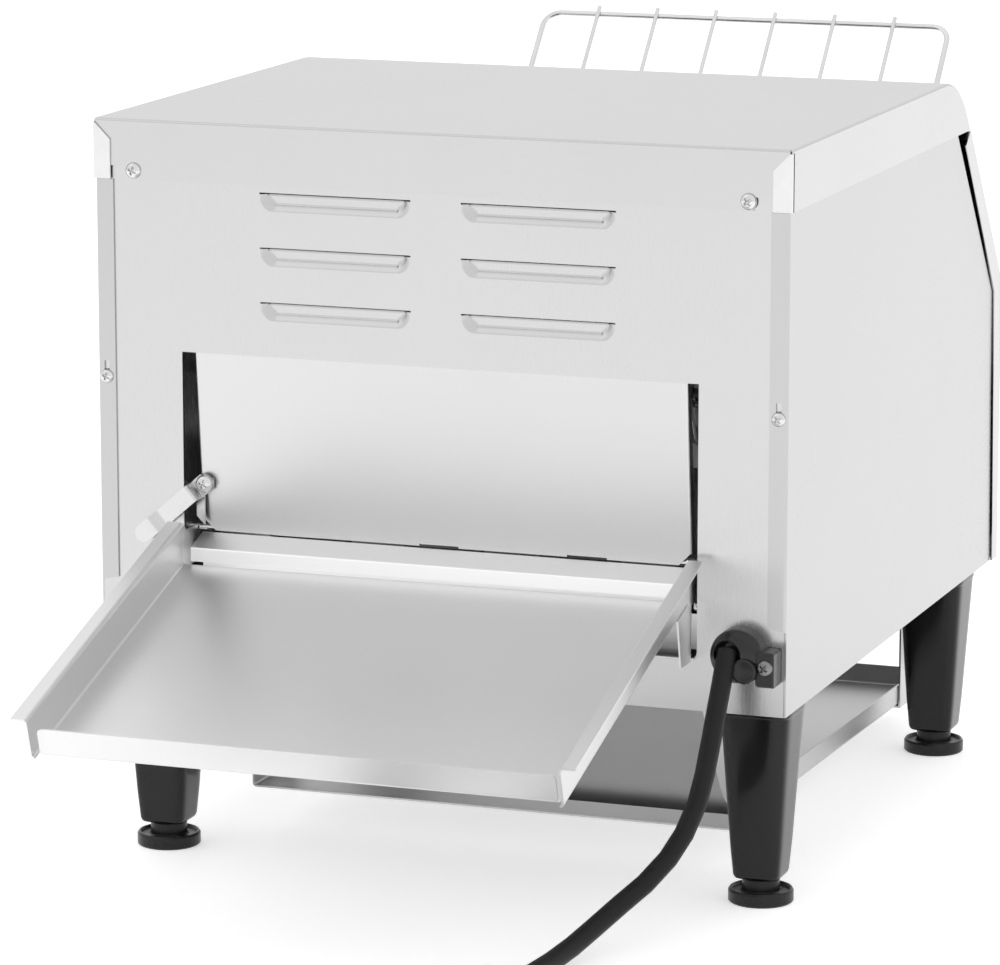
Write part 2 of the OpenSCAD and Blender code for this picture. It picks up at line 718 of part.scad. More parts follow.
// Deflector: plate leaning on the rear panel, hinged along its lower edge
module deflector() color("lightgray") placed()
    translate([0, -rod_y, rod_z]) rotate([-plate_tilt, 0, 0]) {
        h = plate_w / 2;
        chamfer = 6;
        difference() {
            xz(plate_y, knuckle_r)
                polygon([[chamfer - h, -plate_drop], [h - chamfer, -plate_drop],
                         [h, chamfer - plate_drop], [h, plate_h], [-h, plate_h],
                         [-h, chamfer - plate_drop]]);
            for (x = plate_slot_x)
                block(x - plate_slot_l / 2, x + plate_slot_l / 2, 0, knuckle_r + eps,
                      -plate_drop - eps, plate_slot_h - plate_drop);
        }
        for (s = [-1, 1])
            mirror([s < 0 ? 1 : 0, 0, 0])
                block(h - plate_t, h, plate_y - plate_rim, knuckle_r, knuckle_r + air + chamfer, plate_h);
        // curled knuckles round the rod
        for (x = [-108, -36, 36, 108])
            difference() {
                bar_x(x - knuckle_l / 2, x + knuckle_l / 2, 0, 0, knuckle_r);
                bar_x(x - knuckle_l / 2 - eps, x + knuckle_l / 2 + eps, 0, 0, rod_d / 2 + run_fit);
            }
    }

// Latch: bracket on the inner wall, stepped lever and its screw
module latch_bracket() color("silver") placed() {
    t = latch_t;
    y0 = bracket_y - t;
    difference() {
        union() {
            xz(y0, bracket_y)
                polygon([[latch_x + 0.5, 176.8], [latch_x + 5, 181.5], [latch_x + 5, latch_z - 4],
                         [liner_x, latch_z - 8], [liner_x, latch_z - 1],
                         [latch_x + 3, latch_z + 4.4], [latch_x - 4.4, latch_z + 3],
                         [latch_x - 4.4, latch_z - 3], [latch_x + 0.5, latch_z - 5]]);
            block(liner_x - t, liner_x, y0 - 14, bracket_y, latch_z - 8, latch_z - 1);
        }
        bar_y(latch_x, y0 - eps, bracket_y + eps, latch_z, screw_d / 2);
    }
}
module latch_screw() color("silver") placed()
    difference() {
        union() {
            bar_y(latch_x, latch_y + air / 2, latch_y + air / 2 + 2.6, latch_z, pan_r);
            bar_y(latch_x, bracket_y - latch_t, latch_y + air, latch_z, screw_d / 2 - run_fit / 2);
        }
        for (a = [0, 90])
            translate([latch_x, latch_y + air / 2 + 2.6, latch_z]) rotate([0, a + 20, 0])
                cube([pan_r * 1.1, 2.4, 1.1], center = true);
    }
module latch() color("gainsboro") placed()
    translate([latch_x, 0, latch_z]) rotate([0, latch_rest, 0]) {
        h = latch_w / 2;
        hub_out = 5.2;
        step = 27;
        step_out = 31.5;
        difference() {
            union() {
                bar_y(0, latch_y - latch_t, latch_y, 0, h);
                block(0, hub_out + latch_t, latch_y - latch_t, latch_y, -h, h);
                block(hub_out, hub_out + latch_t, latch_y - latch_t, latch_out, -h, h);
                xz_up(-h, h)
                    polygon([[hub_out, latch_out - latch_t], [hub_out, latch_out],
                             [step, latch_out], [step_out, latch_tip_y],
                             [latch_l - h, latch_tip_y], [latch_l - h, latch_tip_y - latch_t],
                             [step_out + 0.5, latch_tip_y - latch_t],
                             [step + 0.5, latch_out - latch_t]]);
                bar_y(latch_l - h, latch_tip_y - latch_t, latch_tip_y, 0, h);
            }
            bar_y(0, latch_y - latch_t - eps, latch_y + eps, 0, screw_d / 2 + run_fit);
        }
    }
// A profile drawn in x and y, from z0 to z1
module xz_up(z0, z1) translate([0, 0, z0]) linear_extrude(z1 - z0) children();

// Rear tray: sloped channel with flanged walls, a lip, tabs and carrying rails
function tray_pt(v, w) = [tray_y0 + v * cos(tray_slope) + w * sin(tray_slope),
                          tray_z - v * sin(tray_slope) + w * cos(tray_slope)];
module rear_tray() color("gainsboro") placed() {
    t = tray_t;
    y0 = tray_y0 + lap;
    wall = tray_wall * cos(tray_slope);
    end_v = (tray_reach - tray_y0 - wall * sin(tray_slope)) / cos(tray_slope);
    lip_v = end_v - 4;
    yz(-tray_x, tray_x)
        polygon([[y0, tray_floor(y0)], [y0, tray_floor(y0) - t], tray_pt(lip_v + t, -t),
                 tray_pt(lip_v + t, 0)]);
    yz(-tray_x + 3, tray_x - 3)
        polygon([tray_pt(lip_v, -t), tray_pt(lip_v, tray_lip), tray_pt(lip_v + t, tray_lip),
                 tray_pt(lip_v + t, -t)]);
    for (s = [-1, 1])
        mirror([s < 0 ? 1 : 0, 0, 0]) {
            yz(tray_x, tray_side)
                polygon([[-rail_in, rail_z0], [-rail_in, rod_z - rod_d / 2 - air],
                         [-rod_y + rod_d / 2 + 1, rod_z - rod_d / 2 - air],
                         [-rod_y + rod_d / 2 + 1, rail_z1], [tray_y0 - 4, rail_z1],
                         [tray_y0, tray_top(tray_y0)], tray_pt(end_v, wall), tray_pt(end_v, -t),
                         [22, tray_floor(22) - t], [16, bay_z0 - 1], [0.5 + air, bay_z0 - 1],
                         [0.5, rail_z0]]);
            yz(tray_x, tray_x + tray_flange)
                polygon([[tray_y0, tray_top(tray_y0)], tray_pt(end_v, wall),
                         tray_pt(end_v, wall - t), [tray_y0, tray_top(tray_y0) - t]]);
        }
}

// Studs in the inner walls that carry the tray's rails; the deflector's rod holds their ends down
module tray_studs() color("gray") placed()
    for (s = [-1, 1])
        mirror([s < 0 ? 1 : 0, 0, 0])
            bar_x(liner_x - stud_l, liner_x, -wall_rear - stud_r - 0.1,
                  rail_z0 - air / 2 - stud_r, stud_r);

// Toast tray: drawn level at its inner end, then sloped to the front
module catch_frame() translate([0, -catch_in, catch_z]) rotate([catch_slope, 0, 0]) children();
module toast_tray() color("gainsboro") placed() catch_frame()
    difference() {
        block(-catch_x, catch_x, -catch_len, 0, 0, catch_wall);
        block(-catch_x + tray_t, catch_x - tray_t, -catch_len + tray_t, eps, tray_t, catch_wall + eps);
    }

// Hangers that hold the toast tray under the case
module tray_hangers() color("silver") placed()
    for (s = [-1, 1])
        for (y = hanger_y)
            mirror([s < 0 ? 1 : 0, 0, 0]) {
                x0 = catch_x + air;
                z0 = catch_z + (y + catch_in) * tan(catch_slope);
                block(x0, x0 + hanger_t, y - hanger_w / 2, y + hanger_w / 2, z0 - 1, case_base);
                block(x0, x0 + 9, y - hanger_w / 2, y + hanger_w / 2, case_base - hanger_t, case_base);
                intersection() {
                    catch_frame()
                        block(x0 - hanger_foot, x0 + hanger_t, -catch_len - 20, 20,
                              -air / 2 - hanger_t, -air / 2);
                    block(0, cover_x, y - hanger_w / 2, y + hanger_w / 2, 0, case_base);
                }
            }

// Leg: tapered square moulding with a collar, bored for the bolt and the foot's stem
module leg(s, front) translate([s * leg_x, leg_y(front), 0]) {
    difference() {
        union() {
            hull() {
                translate([0, 0, case_base - collar_h]) linear_extrude(weld) leg_square(leg_top - 1);
                translate([0, 0, leg_z + 2]) linear_extrude(weld) leg_square(leg_low + 0.6);
                translate([0, 0, leg_z]) linear_extrude(weld) leg_square(leg_low - 3);
            }
            translate([0, 0, case_base - collar_h]) linear_extrude(collar_h) leg_square(leg_top);
        }
        bar_z(0, 0, leg_z - eps, leg_z + stem_l + 3, stem_d / 2 + run_fit);
        bar_z(0, 0, case_base - bolt_in, case_base + eps, bolt_d / 2 + run_fit);
    }
}
leg_bulge_r = 90;                          // radius of a leg's bowed faces
module leg_square(w) {
    intersection_for (a = [0, 90])
        rotate(a) intersection() {
            square([w, w - 0.01], center = true);
            translate([0, w / 2 - leg_bulge_r]) circle(leg_bulge_r, $fn = 128);
            translate([0, leg_bulge_r - w / 2]) circle(leg_bulge_r, $fn = 128);
        }
}
module leg_front_left() color("black") placed() leg(1, true);
module leg_front_right() color("black") placed() leg(-1, true);
module leg_rear_left() color("black") placed() leg(1, false);
module leg_rear_right() color("black") placed() leg(-1, false);

module leg_bolts() color("gray") placed()
    for (s = [-1, 1])
        for (front = [false, true])
            translate([s * leg_x, leg_y(front), 0]) {
                bar_z(0, 0, case_base - bolt_in + 4, pan_z, bolt_d / 2);
                translate([0, 0, pan_z]) cylinder(h = 5.3, r = 7.5, $fn = 6);
            }

// Foot: grooved disc, neck and stem
module foot(s, front) translate([s * leg_x, leg_y(front), 0]) {
    difference() {
        bar_z(0, 0, 0, foot_h, foot_d / 2);
        difference() {
            bar_z(0, 0, foot_h - 1.6, foot_h + eps, foot_d / 2 - 2);
            bar_z(0, 0, foot_h - 2, foot_h + 1, neck_d / 2 + 0.5);
        }
    }
    bar_z(0, 0, foot_h - 1, leg_z, neck_d / 2);
    bar_z(0, 0, leg_z - 1, leg_z + stem_l, stem_d / 2);
}
module foot_front_left() color("black") placed() foot(1, true);
module foot_front_right() color("black") placed() foot(-1, true);
module foot_rear_left() color("black") placed() foot(1, false);
module foot_rear_right() color("black") placed() foot(-1, false);

// --- Belt ---
rear_c = [-belt_rear, belt_z];
front_c = [front_y, belt_z];
function rung_at(i) =
    i < belt_span ? rear_c + [-i * rung_pitch, belt_r]
    : i < belt_span + belt_teeth / 2
        ? front_c + belt_r * [cos(90 + (i - belt_span) * 360 / belt_teeth),
                              sin(90 + (i - belt_span) * 360 / belt_teeth)]
    : i < 2 * belt_span + belt_teeth / 2
        ? front_c + [(i - belt_span - belt_teeth / 2) * rung_pitch, -belt_r]
    : rear_c + belt_r * [cos(270 + (i - 2 * belt_span - belt_teeth / 2) * 360 / belt_teeth),
                         sin(270 + (i - 2 * belt_span - belt_teeth / 2) * 360 / belt_teeth)];
rung_n = 2 * belt_span + belt_teeth;
// Flat link of thickness t in the plane at x: a bar from a to b, with a round eye at each end
module link(x, t, a, b, eye, half)
    yz(x - t / 2, x + t / 2)
        translate(a) rotate(atan2(b[1] - a[1], b[0] - a[0])) {
            translate([0, -half]) square([norm(b - a), 2 * half]);
            circle(eye, $fn = 24);
            translate([norm(b - a), 0]) circle(eye, $fn = 24);
        }
// Rungs joined by eyed links, each set beside the last
module conveyor_belt() color("silver") placed()
    for (i = [0:rung_n - 1]) {
        a = rung_at(i);
        b = rung_at((i + 1) % rung_n);
        bar_x(-belt_w / 2, belt_w / 2, a[0], a[1], rung_d / 2);
        for (x = belt_links_x)
            link(x + (i % 2 == 0 ? 1 : -1) * (belt_link_d / 2 + lap), belt_link_d, a, b,
                 rung_d / 2 + belt_link_d / 2, belt_link_d / 2);
    }
// Toothed wheel: gullets of radius g on a pitch circle of radius r
module wheel(n, r, tip, g)
    difference() {
        circle(r + tip, $fn = 96);
        for (i = [0:n - 1])
            rotate(i * 360 / n) {
                translate([r, 0]) circle(g, $fn = 24);
                translate([r, -g]) square([tip + 2, 2 * g]);
            }
    }
module belt_wheels(c) color("dimgray") placed()
    for (x = sprocket_x)
        difference() {
            union() {
                yz(x - 2, x + 2) translate(c) rotate(90) wheel(belt_teeth, belt_r, 2, rung_d / 2 + 0.35);
                bar_x(x - 7, x + 7, c[0], c[1], shaft_d / 2 + 4);
            }
            bar_x(x - 8, x + 8, c[0], c[1], shaft_d / 2 + tight);
        }
module rear_sprockets() belt_wheels(rear_c);
module front_sprockets() belt_wheels(front_c);
module rear_shaft() color("gray") placed()
    bar_x(-wall_out - 5, chain_x + 9, rear_c[0], rear_c[1], shaft_d / 2);
module front_shaft() color("gray") placed()
    bar_x(-wall_out - 5, wall_out + 5, front_c[0], front_c[1], shaft_d / 2);
module shaft_bushes() color("darkgoldenrod") placed()
    for (s = [-1, 1])
        for (c = [rear_c, front_c])
            mirror([s < 0 ? 1 : 0, 0, 0])
                difference() {
                    union() {
                        bar_x(wall_x - 3, wall_out + 3, c[0], c[1], bush_d / 2);
                        bar_x(wall_x - 3, wall_x - lap, c[0], c[1], bush_d / 2 + 2);
                    }
                    bar_x(wall_x - 4, wall_out + 4, c[0], c[1], shaft_d / 2 + run_fit);
                }
module belt_guides() color("silver") placed() {
    top = belt_z + belt_r - rung_d / 2 - air;
    y0 = front_y + 30;
    y1 = -belt_rear - 30;
    for (s = [-1, 1])
        mirror([s < 0 ? 1 : 0, 0, 0]) {
            block(belt_w / 2 - 4, liner_x, y0, y1, top - wall_t, top);
            block(liner_x - wall_t, liner_x, y0, y1, top - 8, top);
        }
}

// --- Drive ---
motor_c = [motor_y, motor_z];
module drive_chain() color("dimgray") placed() {
    inner = (chain_gap + chain_plate_t) / 2;
    outer = inner + chain_plate_t - lap / 2;
    for (i = [0:chain_links - 1]) {
        a = chain_at(i);
        b = chain_at((i + 1) % chain_links);
        for (s = [-1, 1])
            if (i % 2 == 0)
                link(chain_x + s * inner, chain_plate_t, a, b, chain_plate_r, chain_plate_r * sink);
            else
                link(chain_x + s * outer, chain_plate_t, a, b, chain_plate_r - 0.3, chain_waist);
        bar_x(chain_x - outer - chain_plate_t, chain_x + outer + chain_plate_t, a[0], a[1], roller_r);
    }
}
// Roller positions: i steps from the far side of the driven sprocket
drive_dir = atan2(motor_z - belt_z, motor_y + belt_rear);
drive_tilt = asin((driven_r - motor_r) / chain_c);
driven_arc = driven_r * (90 + drive_tilt) * PI / 180;
motor_arc = motor_r * (90 - drive_tilt) * PI / 180;
drive_run = chain_c * cos(drive_tilt);
chain_step = 2 * (driven_arc + motor_arc + drive_run) / chain_links;
function chain_side(l) =
    l < driven_arc ? rear_c + driven_r * dir2(180 - l / driven_r * 180 / PI)
    : l < driven_arc + drive_run
        ? rear_c + driven_r * dir2(90 - drive_tilt) + (l - driven_arc) * dir2(-drive_tilt)
    : motor_c + motor_r * dir2(90 - drive_tilt
                               - (l - driven_arc - drive_run) / motor_r * 180 / PI);
function dir2(a) = [cos(drive_dir + a), sin(drive_dir + a)];
function flip(p) =
    let (u = dir2(0), v = p - rear_c, along = v * u, across = v * [-u[1], u[0]])
    rear_c + along * u - across * [-u[1], u[0]];
function chain_at(i) = i <= chain_links / 2 ? chain_side(i * chain_step)
                       : flip(chain_side((chain_links - i) * chain_step));
module driven_sprocket() color("dimgray") placed()
    difference() {
        union() {
            yz(chain_x - 2.2, chain_x + 2.2)
                translate(rear_c) rotate(drive_dir + 180)
                    wheel(driven_teeth, driven_r, 1.3, roller_r + 0.7);
            bar_x(chain_x - 7, chain_x, rear_c[0], rear_c[1], shaft_d / 2 + 5);
        }
        bar_x(chain_x - 8, chain_x + 8, rear_c[0], rear_c[1], shaft_d / 2 + tight);
    }
module motor_sprocket() color("dimgray") placed() {
    yz(chain_x - 2.2, chain_x + 2.2)
        translate(motor_c) rotate(drive_dir) wheel(motor_teeth, motor_r, 1.5, roller_r + 0.7);
    bar_x(chain_x - 6, chain_x + 4, motor_c[0], motor_c[1], motor_shaft_d / 2 + 2.5);
    bar_x(gear_x0 + 6, chain_x + 4, motor_c[0], motor_c[1], motor_shaft_d / 2);
}
gear_x1 = liner_x - 2;
gear_l = 26;
gear_x0 = gear_x1 - gear_l;
gear_h = 26;                               // half the height of the gearbox
motor_case_r = 25;
motor_l = 52;
mount_h = 34;                              // half the height of the motor's bracket
mount_leg = 10;
mount_foot = 20;
module gearmotor() color("slategray") placed()
    difference() {
        union() {
            block(gear_x0, gear_x1, motor_y - gear_h, motor_y + gear_h, motor_z - gear_h, motor_z + gear_h);
            bar_x(gear_x0 - motor_l, gear_x0 + weld, motor_y, motor_z, motor_case_r);
            bar_x(gear_x0 - motor_l - 6, gear_x0 - motor_l + weld, motor_y, motor_z, motor_case_r / 3);
        }
        bar_x(gear_x0 + 5, gear_x1 + eps, motor_c[0], motor_c[1], motor_shaft_d / 2 + run_fit);
    }
module motor_bracket() color("silver") placed()
    difference() {
        union() {
            block(gear_x1, liner_x, motor_y - mount_h, motor_y + mount_h, motor_z - mount_h,
                  motor_z + mount_h);
            block(gear_x1 - mount_foot, liner_x, motor_y - mount_h, motor_y + mount_h, pan_z, pan_z + 2);
            for (s = [-1, 1])
                translate([0, motor_y + s * (mount_h - mount_leg / 2), 0])
                    block(gear_x1, liner_x, -mount_leg / 2, mount_leg / 2, pan_z, motor_z);
        }
        bar_x(gear_x1 - eps, liner_x + eps, motor_c[0], motor_c[1], motor_shaft_d / 2 + 1.5);
    }

// --- Heat ---
module tubes(z) placed()
    for (i = [-1:1])
        bar_x(-liner_x + 4, liner_x - 4, tube_y(i), z, tube_d / 2);
module upper_heaters() color("mistyrose") tubes(upper_z);
module lower_heaters() color("mistyrose") tubes(lower_z);
module heater_caps() color("ivory") placed()
    for (s = [-1, 1])
        for (z = [upper_z, lower_z])
            for (i = [-1:1])
                mirror([s < 0 ? 1 : 0, 0, 0])
                    difference() {
                        union() {
                            bar_x(wall_x - 12, wall_out + 6, tube_y(i), z, cap_d / 2);
                            bar_x(wall_out + lap, wall_out + 3, tube_y(i), z, cap_d / 2 + 2.5);
                        }
                        bar_x(wall_x - 13, liner_x - 4, tube_y(i), z, cap_bore);
                    }

// --- Controls ---
panel_in = -case_d + lap + skin;
module knob(s) {
    bar_y(s * knob_x, -case_d + lap - air - 3, -case_d + lap - air, knob_z, knob_d / 2);
    bar_y(s * knob_x, -case_d + lap - air - knob_h, -case_d + lap - air - 2, knob_z, knob_d / 2 - 4);
    block(s * knob_x - 3.5, s * knob_x + 3.5, -case_d + lap - air - knob_h - 2,
          -case_d + lap - air - 3, knob_z - knob_d / 2 + 4, knob_z + knob_d / 2 - 4);
    bar_y(s * knob_x, -case_d - 2, panel_in + 12, knob_z, spindle_d / 2);
}
module selector_knob() color("black") placed() knob(-1);
module speed_knob() color("black") placed() knob(1);
module control_body(s, w, h, l)
    difference() {
        union() {
            block(s * knob_x - w / 2, s * knob_x + w / 2, panel_in + 3, panel_in + l,
                  knob_z - h / 2, knob_z + h / 2);
            bar_y(s * knob_x, panel_in, panel_in + 4, knob_z, spindle_d / 2 + 3);
        }
        bar_y(s * knob_x, panel_in - eps, panel_in + 13, knob_z, spindle_d / 2 + run_fit);
    }
module selector_switch() color("ivory") placed() control_body(-1, 42, 40, 44);
module speed_controller() color("darkgreen") placed() control_body(1, 56, 34, 30);
module pilot_lamps() color("orange") placed()
    for (s = [-1, 1]) {
        bar_y(s * lamp_x, -case_d + lap - 3, -case_d + lap, knob_z, lamp_r + 2);
        bar_y(s * lamp_x, -case_d + lap - 1, panel_in + 22, knob_z, lamp_r);
    }
terminal_y = 59;
module terminal_block() color("ivory") placed() {
    for (i = [0:2])
        block(-gland_x - 8, -gland_x + 8, -terminal_y - (i + 1) * 13, -terminal_y - 1 - i * 13,
              pan_z + 2, pan_z + 18);
    block(-gland_x - 8, -gland_x + 8, -terminal_y - 39, -terminal_y, pan_z, pan_z + 3);
}

// --- Fasteners ---
module cover_screws() color("silver") placed()
    for (s = [-1, 1])
        screw_y(s * (cover_screw_x), -rear_1, cover_screw_z, 4.2, 10);
module panel_screws() color("silver") placed()
    for (s = [-1, 1])
        screw_y(s * panel_screw_x, -rear_1, panel_screw_z, 3.6, 9);

// --- Feed rack ---
module rack_frame() translate([0, rack_y, rack_z]) rotate([rack_lean, 0, 0]) children();
module wire(p, q, d)
    translate(p) rotate([0, acos((q - p)[2] / norm(q - p)), atan2((q - p)[1], (q - p)[0])])
        cylinder(h = norm(q - p), r = d / 2, $fn = 24);
module feed_rack() color("silver") placed() rack_frame() {
    r = rack_d / 2;
    for (s = [-1, 1]) {
        bar_z(s * rack_x, 0, 0, rack_l - rack_r, r);
        translate([s * (rack_x - rack_r), 0, rack_l - rack_r]) rotate([90, 0, 0])
            rotate(s > 0 ? 0 : 90) rotate_extrude(angle = 90) translate([rack_r, 0]) circle(r, $fn = 24);
    }
    bar_x(-rack_x + rack_r, rack_x - rack_r, 0, rack_l, r);
    bar_x(-rack_x - 6, rack_x + 6, 0, 0, r);
    for (i = [-rack_n:rack_n - 1])
        bar_z((i + 0.5) * rack_pitch, r + wire_d / 2 - 0.8, -r * 0.4, rack_l + 4, wire_d / 2);
}
module rack_brackets() color("silver") placed()
    for (s = [-1, 1])
        mirror([s < 0 ? 1 : 0, 0, 0])
            difference() {
                union() {
                    yz(ear_x, ear_x + ear_t) {
                        polygon([face_pt(2, lap), face_pt(feed_s0 - 1, lap), [rack_y + 2, rack_z + 3],
                                 [rack_y - 3, rack_z + 2], [rack_y - 3, rack_z - 2]]);
                        translate([rack_y, rack_z]) circle(4);
                    }
                    // finger and tab that stop the rack
                    rack_frame() {
                        block(ear_x, ear_x + ear_t, -stop_y - 1.2, 2, 0, 12);
                        block(rack_x - 1, ear_x + ear_t, -stop_y - 1.2, -stop_y, 7, 12);
                    }
                }
                bar_x(rack_x, rack_x + 8, rack_y, rack_z, rack_d / 2 + run_fit);
            }

// --- Cord ---
module cable_gland() color("black") placed() translate([-gland_x, 0, gland_z]) {
    // domed body with a mouth for the cord
    difference() {
        rotate([-90, 0, 0])
            rotate_extrude() polygon([[0, -rear_2], [gland_r, -rear_2], [gland_r, dome_y - 5],
                                      [gland_r - 1.5, dome_y - 2], [gland_r - 4.5, dome_y], [0, dome_y]]);
        bar_y(mouth_x, dome_y - mouth_in, dome_y + eps, mouth_z, mouth_r);
    }
    // threaded neck through the rear panel
    bar_y(0, -rear_in - neck_in, -rear_2, 0, gland_bore);
    // clamp boss, block and screw
    bar_y(-5.5, -rear_2, dome_y + 1, -6, 6.5);
    block(-clamp_x, -gland_r + 3, -rear_2, dome_y - 2, -14, 3.5);
    bar_y(3 - clamp_x, -rear_2, dome_y + 0.5, -4, 4.2);
}
module gland_nut() color("dimgray") placed() translate([-gland_x, 0, gland_z])
    difference() {
        bar_y(0, -rear_in - nut_t, -rear_in, 0, gland_bore + 4);
        bar_y(0, -rear_in - nut_t - 1, 0, 0, gland_bore + tight);
    }

// Tube of n sides swept along points, with rings square to the path
function unit(v) = v / norm(v);
function tangent(p, i) = unit(p[min(i + 1, len(p) - 1)] - p[max(i - 1, 0)]);
function ring(c, t, r, n) =
    let (side = unit(cross(t, [1, 0.2, 0.1])), up = cross(side, t))
    [for (k = [0:n - 1]) c + r * (cos(k * 360 / n) * side + sin(k * 360 / n) * up)];
// Catmull-Rom points between the route's own points
function spline(p, i, u) =
    let (a = p[max(i - 1, 0)], b = p[i], c = p[i + 1], d = p[min(i + 2, len(p) - 1)])
    0.5 * (2 * b + u * (c - a) + u * u * (2 * a - 5 * b + 4 * c - d)
           + u * u * u * (3 * b - a - 3 * c + d));
function refined(p, k) =
    concat([for (i = [0:len(p) - 2]) for (j = [0:k - 1]) spline(p, i, j / k)], [p[len(p) - 1]]);
module sweep(path, r, n) {
    rings = [for (i = [0:len(path) - 1]) ring(path[i], tangent(path, i), r, n)];
    m = len(path);
    polyhedron(
        points = [for (q = rings) for (v = q) v],
        faces = concat(
            [[for (k = [0:n - 1]) k]],
            [for (i = [0:m - 2]) for (k = [0:n - 1])
                let (a = i * n + k, b = i * n + (k + 1) % n)
                each [[a, a + n, b], [b, a + n, b + n]]],
            [[for (k = [n - 1:-1:0]) (m - 1) * n + k]]));
}
module power_cord() color("black") placed() {
    sweep(refined(route, 2), cord_r, 10);
    sweep(refined(tail, 2), cord_r, 10);
}
module cord_coil() color("black") placed()
    translate([coil_c[0], coil_c[1], 0])
        rotate_extrude($fn = 96) translate([coil_r - coil_w / 2, 0.2]) {
            translate([3, 0]) square([coil_w - 6, coil_w]);
            translate([0, 3]) square([coil_w, coil_w - 6]);
            for (x = [3, coil_w - 3])
                for (z = [3, coil_w - 3])
                    translate([x, z]) circle(3);
        }
module plug() color("black") placed() translate(plug_at) {
    rotate([0, 90, 0])
        rotate_extrude() polygon([[0, 0], [7, 0], [8, 20], [13, 30], [18, 32], [18, plug_face],
                                  [0, plug_face]]);
    for (s = [-1, 1])
        bar_x(plug_face - 1, plug_face - 1 + plug_pin_l, s * plug_pin_y, 0, plug_pin_d / 2);
}

base_pan();
side_panel_left();
side_panel_right();
rear_panel();
top_cover();
front_panel();
inner_wall_left();
inner_wall_right();
upper_reflector();
chamber_floor();
chute();
deflector_rod();
latch_bracket();
latch_screw();
tray_studs();
tray_hangers();
leg_front_left();
leg_front_right();
leg_rear_left();
leg_rear_right();
leg_bolts();
shaft_bushes();
conveyor_belt();
belt_guides();
gearmotor();
motor_bracket();
drive_chain();
upper_heaters();
lower_heaters();
heater_caps();
selector_switch();
speed_controller();
pilot_lamps();
terminal_block();
cable_gland();
gland_nut();
cover_screws();
panel_screws();
rack_brackets();
power_cord();
cord_coil();
plug();
deflector();
latch();
rear_tray();
toast_tray();
foot_front_left();
foot_front_right();
foot_rear_left();
foot_rear_right();
rear_shaft();
rear_sprockets();
front_shaft();
front_sprockets();
motor_sprocket();
driven_sprocket();
selector_knob();
speed_knob();
feed_rack();
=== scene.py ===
import json
from math import asin, cos, pi, radians, sin, tan

import bmesh
import bpy
import numpy as np
from bpy.props import FloatProperty, FloatVectorProperty, PointerProperty
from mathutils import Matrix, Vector


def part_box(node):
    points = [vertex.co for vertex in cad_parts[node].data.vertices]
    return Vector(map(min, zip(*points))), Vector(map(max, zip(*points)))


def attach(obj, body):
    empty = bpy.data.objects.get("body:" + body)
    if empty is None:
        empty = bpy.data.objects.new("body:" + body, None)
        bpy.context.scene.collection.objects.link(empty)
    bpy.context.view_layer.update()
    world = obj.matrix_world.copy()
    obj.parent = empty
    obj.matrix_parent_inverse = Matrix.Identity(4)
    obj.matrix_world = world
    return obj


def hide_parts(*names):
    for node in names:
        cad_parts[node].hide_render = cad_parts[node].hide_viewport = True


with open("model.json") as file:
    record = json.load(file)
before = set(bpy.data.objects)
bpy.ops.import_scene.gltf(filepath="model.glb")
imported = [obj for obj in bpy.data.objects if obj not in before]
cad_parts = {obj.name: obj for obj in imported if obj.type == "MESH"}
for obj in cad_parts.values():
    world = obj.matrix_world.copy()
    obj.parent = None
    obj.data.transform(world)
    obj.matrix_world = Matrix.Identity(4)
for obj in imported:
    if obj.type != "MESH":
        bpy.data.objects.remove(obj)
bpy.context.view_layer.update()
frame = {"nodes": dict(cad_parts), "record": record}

bl_info = {
    "name": "Conveyor Toaster",
    "version": (1, 0, 0),
    "blender": (4, 5, 0),
    "location": "View3D > Sidebar > Toaster",
    "description": "Dresses the frame of a conveyor toaster with folded sheets, wires, cord and finishes",
    "category": "Object",
}

# The sizes below are in millimetres, from the middle of the case's rear face and the floor,
# with the front towards -Y. PLACE is where that point lies in the frame.
PLACE = np.array([0.0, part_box("top_cover")[1].y * 1000, 0.0])

SKIN = 1.0          # sheet thickness
LAP = 0.1           # gap between a sheet and the one over it
FLANGE_Z = 353.4    # lower edge of the cover
SLOPE = radians(52)     # of the case's upper front
CASE_D, CASE_TOP, CASE_BASE = 408.0, 384.0, 103.0
BEND_Z = 260.0          # height of the fold between the front and the slope
COVER_X, SIDE_X, INSET_X = 184.0, 182.9, 181.8      # half widths of the cover, the case and its rear panel
WALL_X = 137.0          # half width of the opening and the toasting chamber
REAR_1, REAR_2 = 1.1, 2.2           # depth of the cover's flange and side strips, and of the rear panel
SCREW_IN, SCREW_UP = 22, 4.6        # cover screws: in from the cover's side, up from its edge
STRIP = 9.5                         # width of the side panels' strip at the rear
CORD_LIE = 5.2                      # height of the cord's middle where it lies on the floor
CONTROL_Z = 178.0                   # height of the knobs and lamps
SILL_HEIGHTS = (0.134, 0.158)       # metres: painted shade below the first, painted light above the second
ROD_AT = (-15.5, 174.6)        # y and z of the deflector's rod
GLAND = (-160.45, 134.5)            # x and z of the cable gland


# --- Surfaces ---
def row(points):
    """Millimetres from the rear face's middle -> metres in the frame."""
    return (np.asarray(points, float) + PLACE) / 1000


def face_point(s, d):
    """(y, z) at s up the slanted face from its fold, and d in from it."""
    return np.array([-CASE_D + s * cos(SLOPE) + d * sin(SLOPE), BEND_Z + s * sin(SLOPE) - d * cos(SLOPE)])


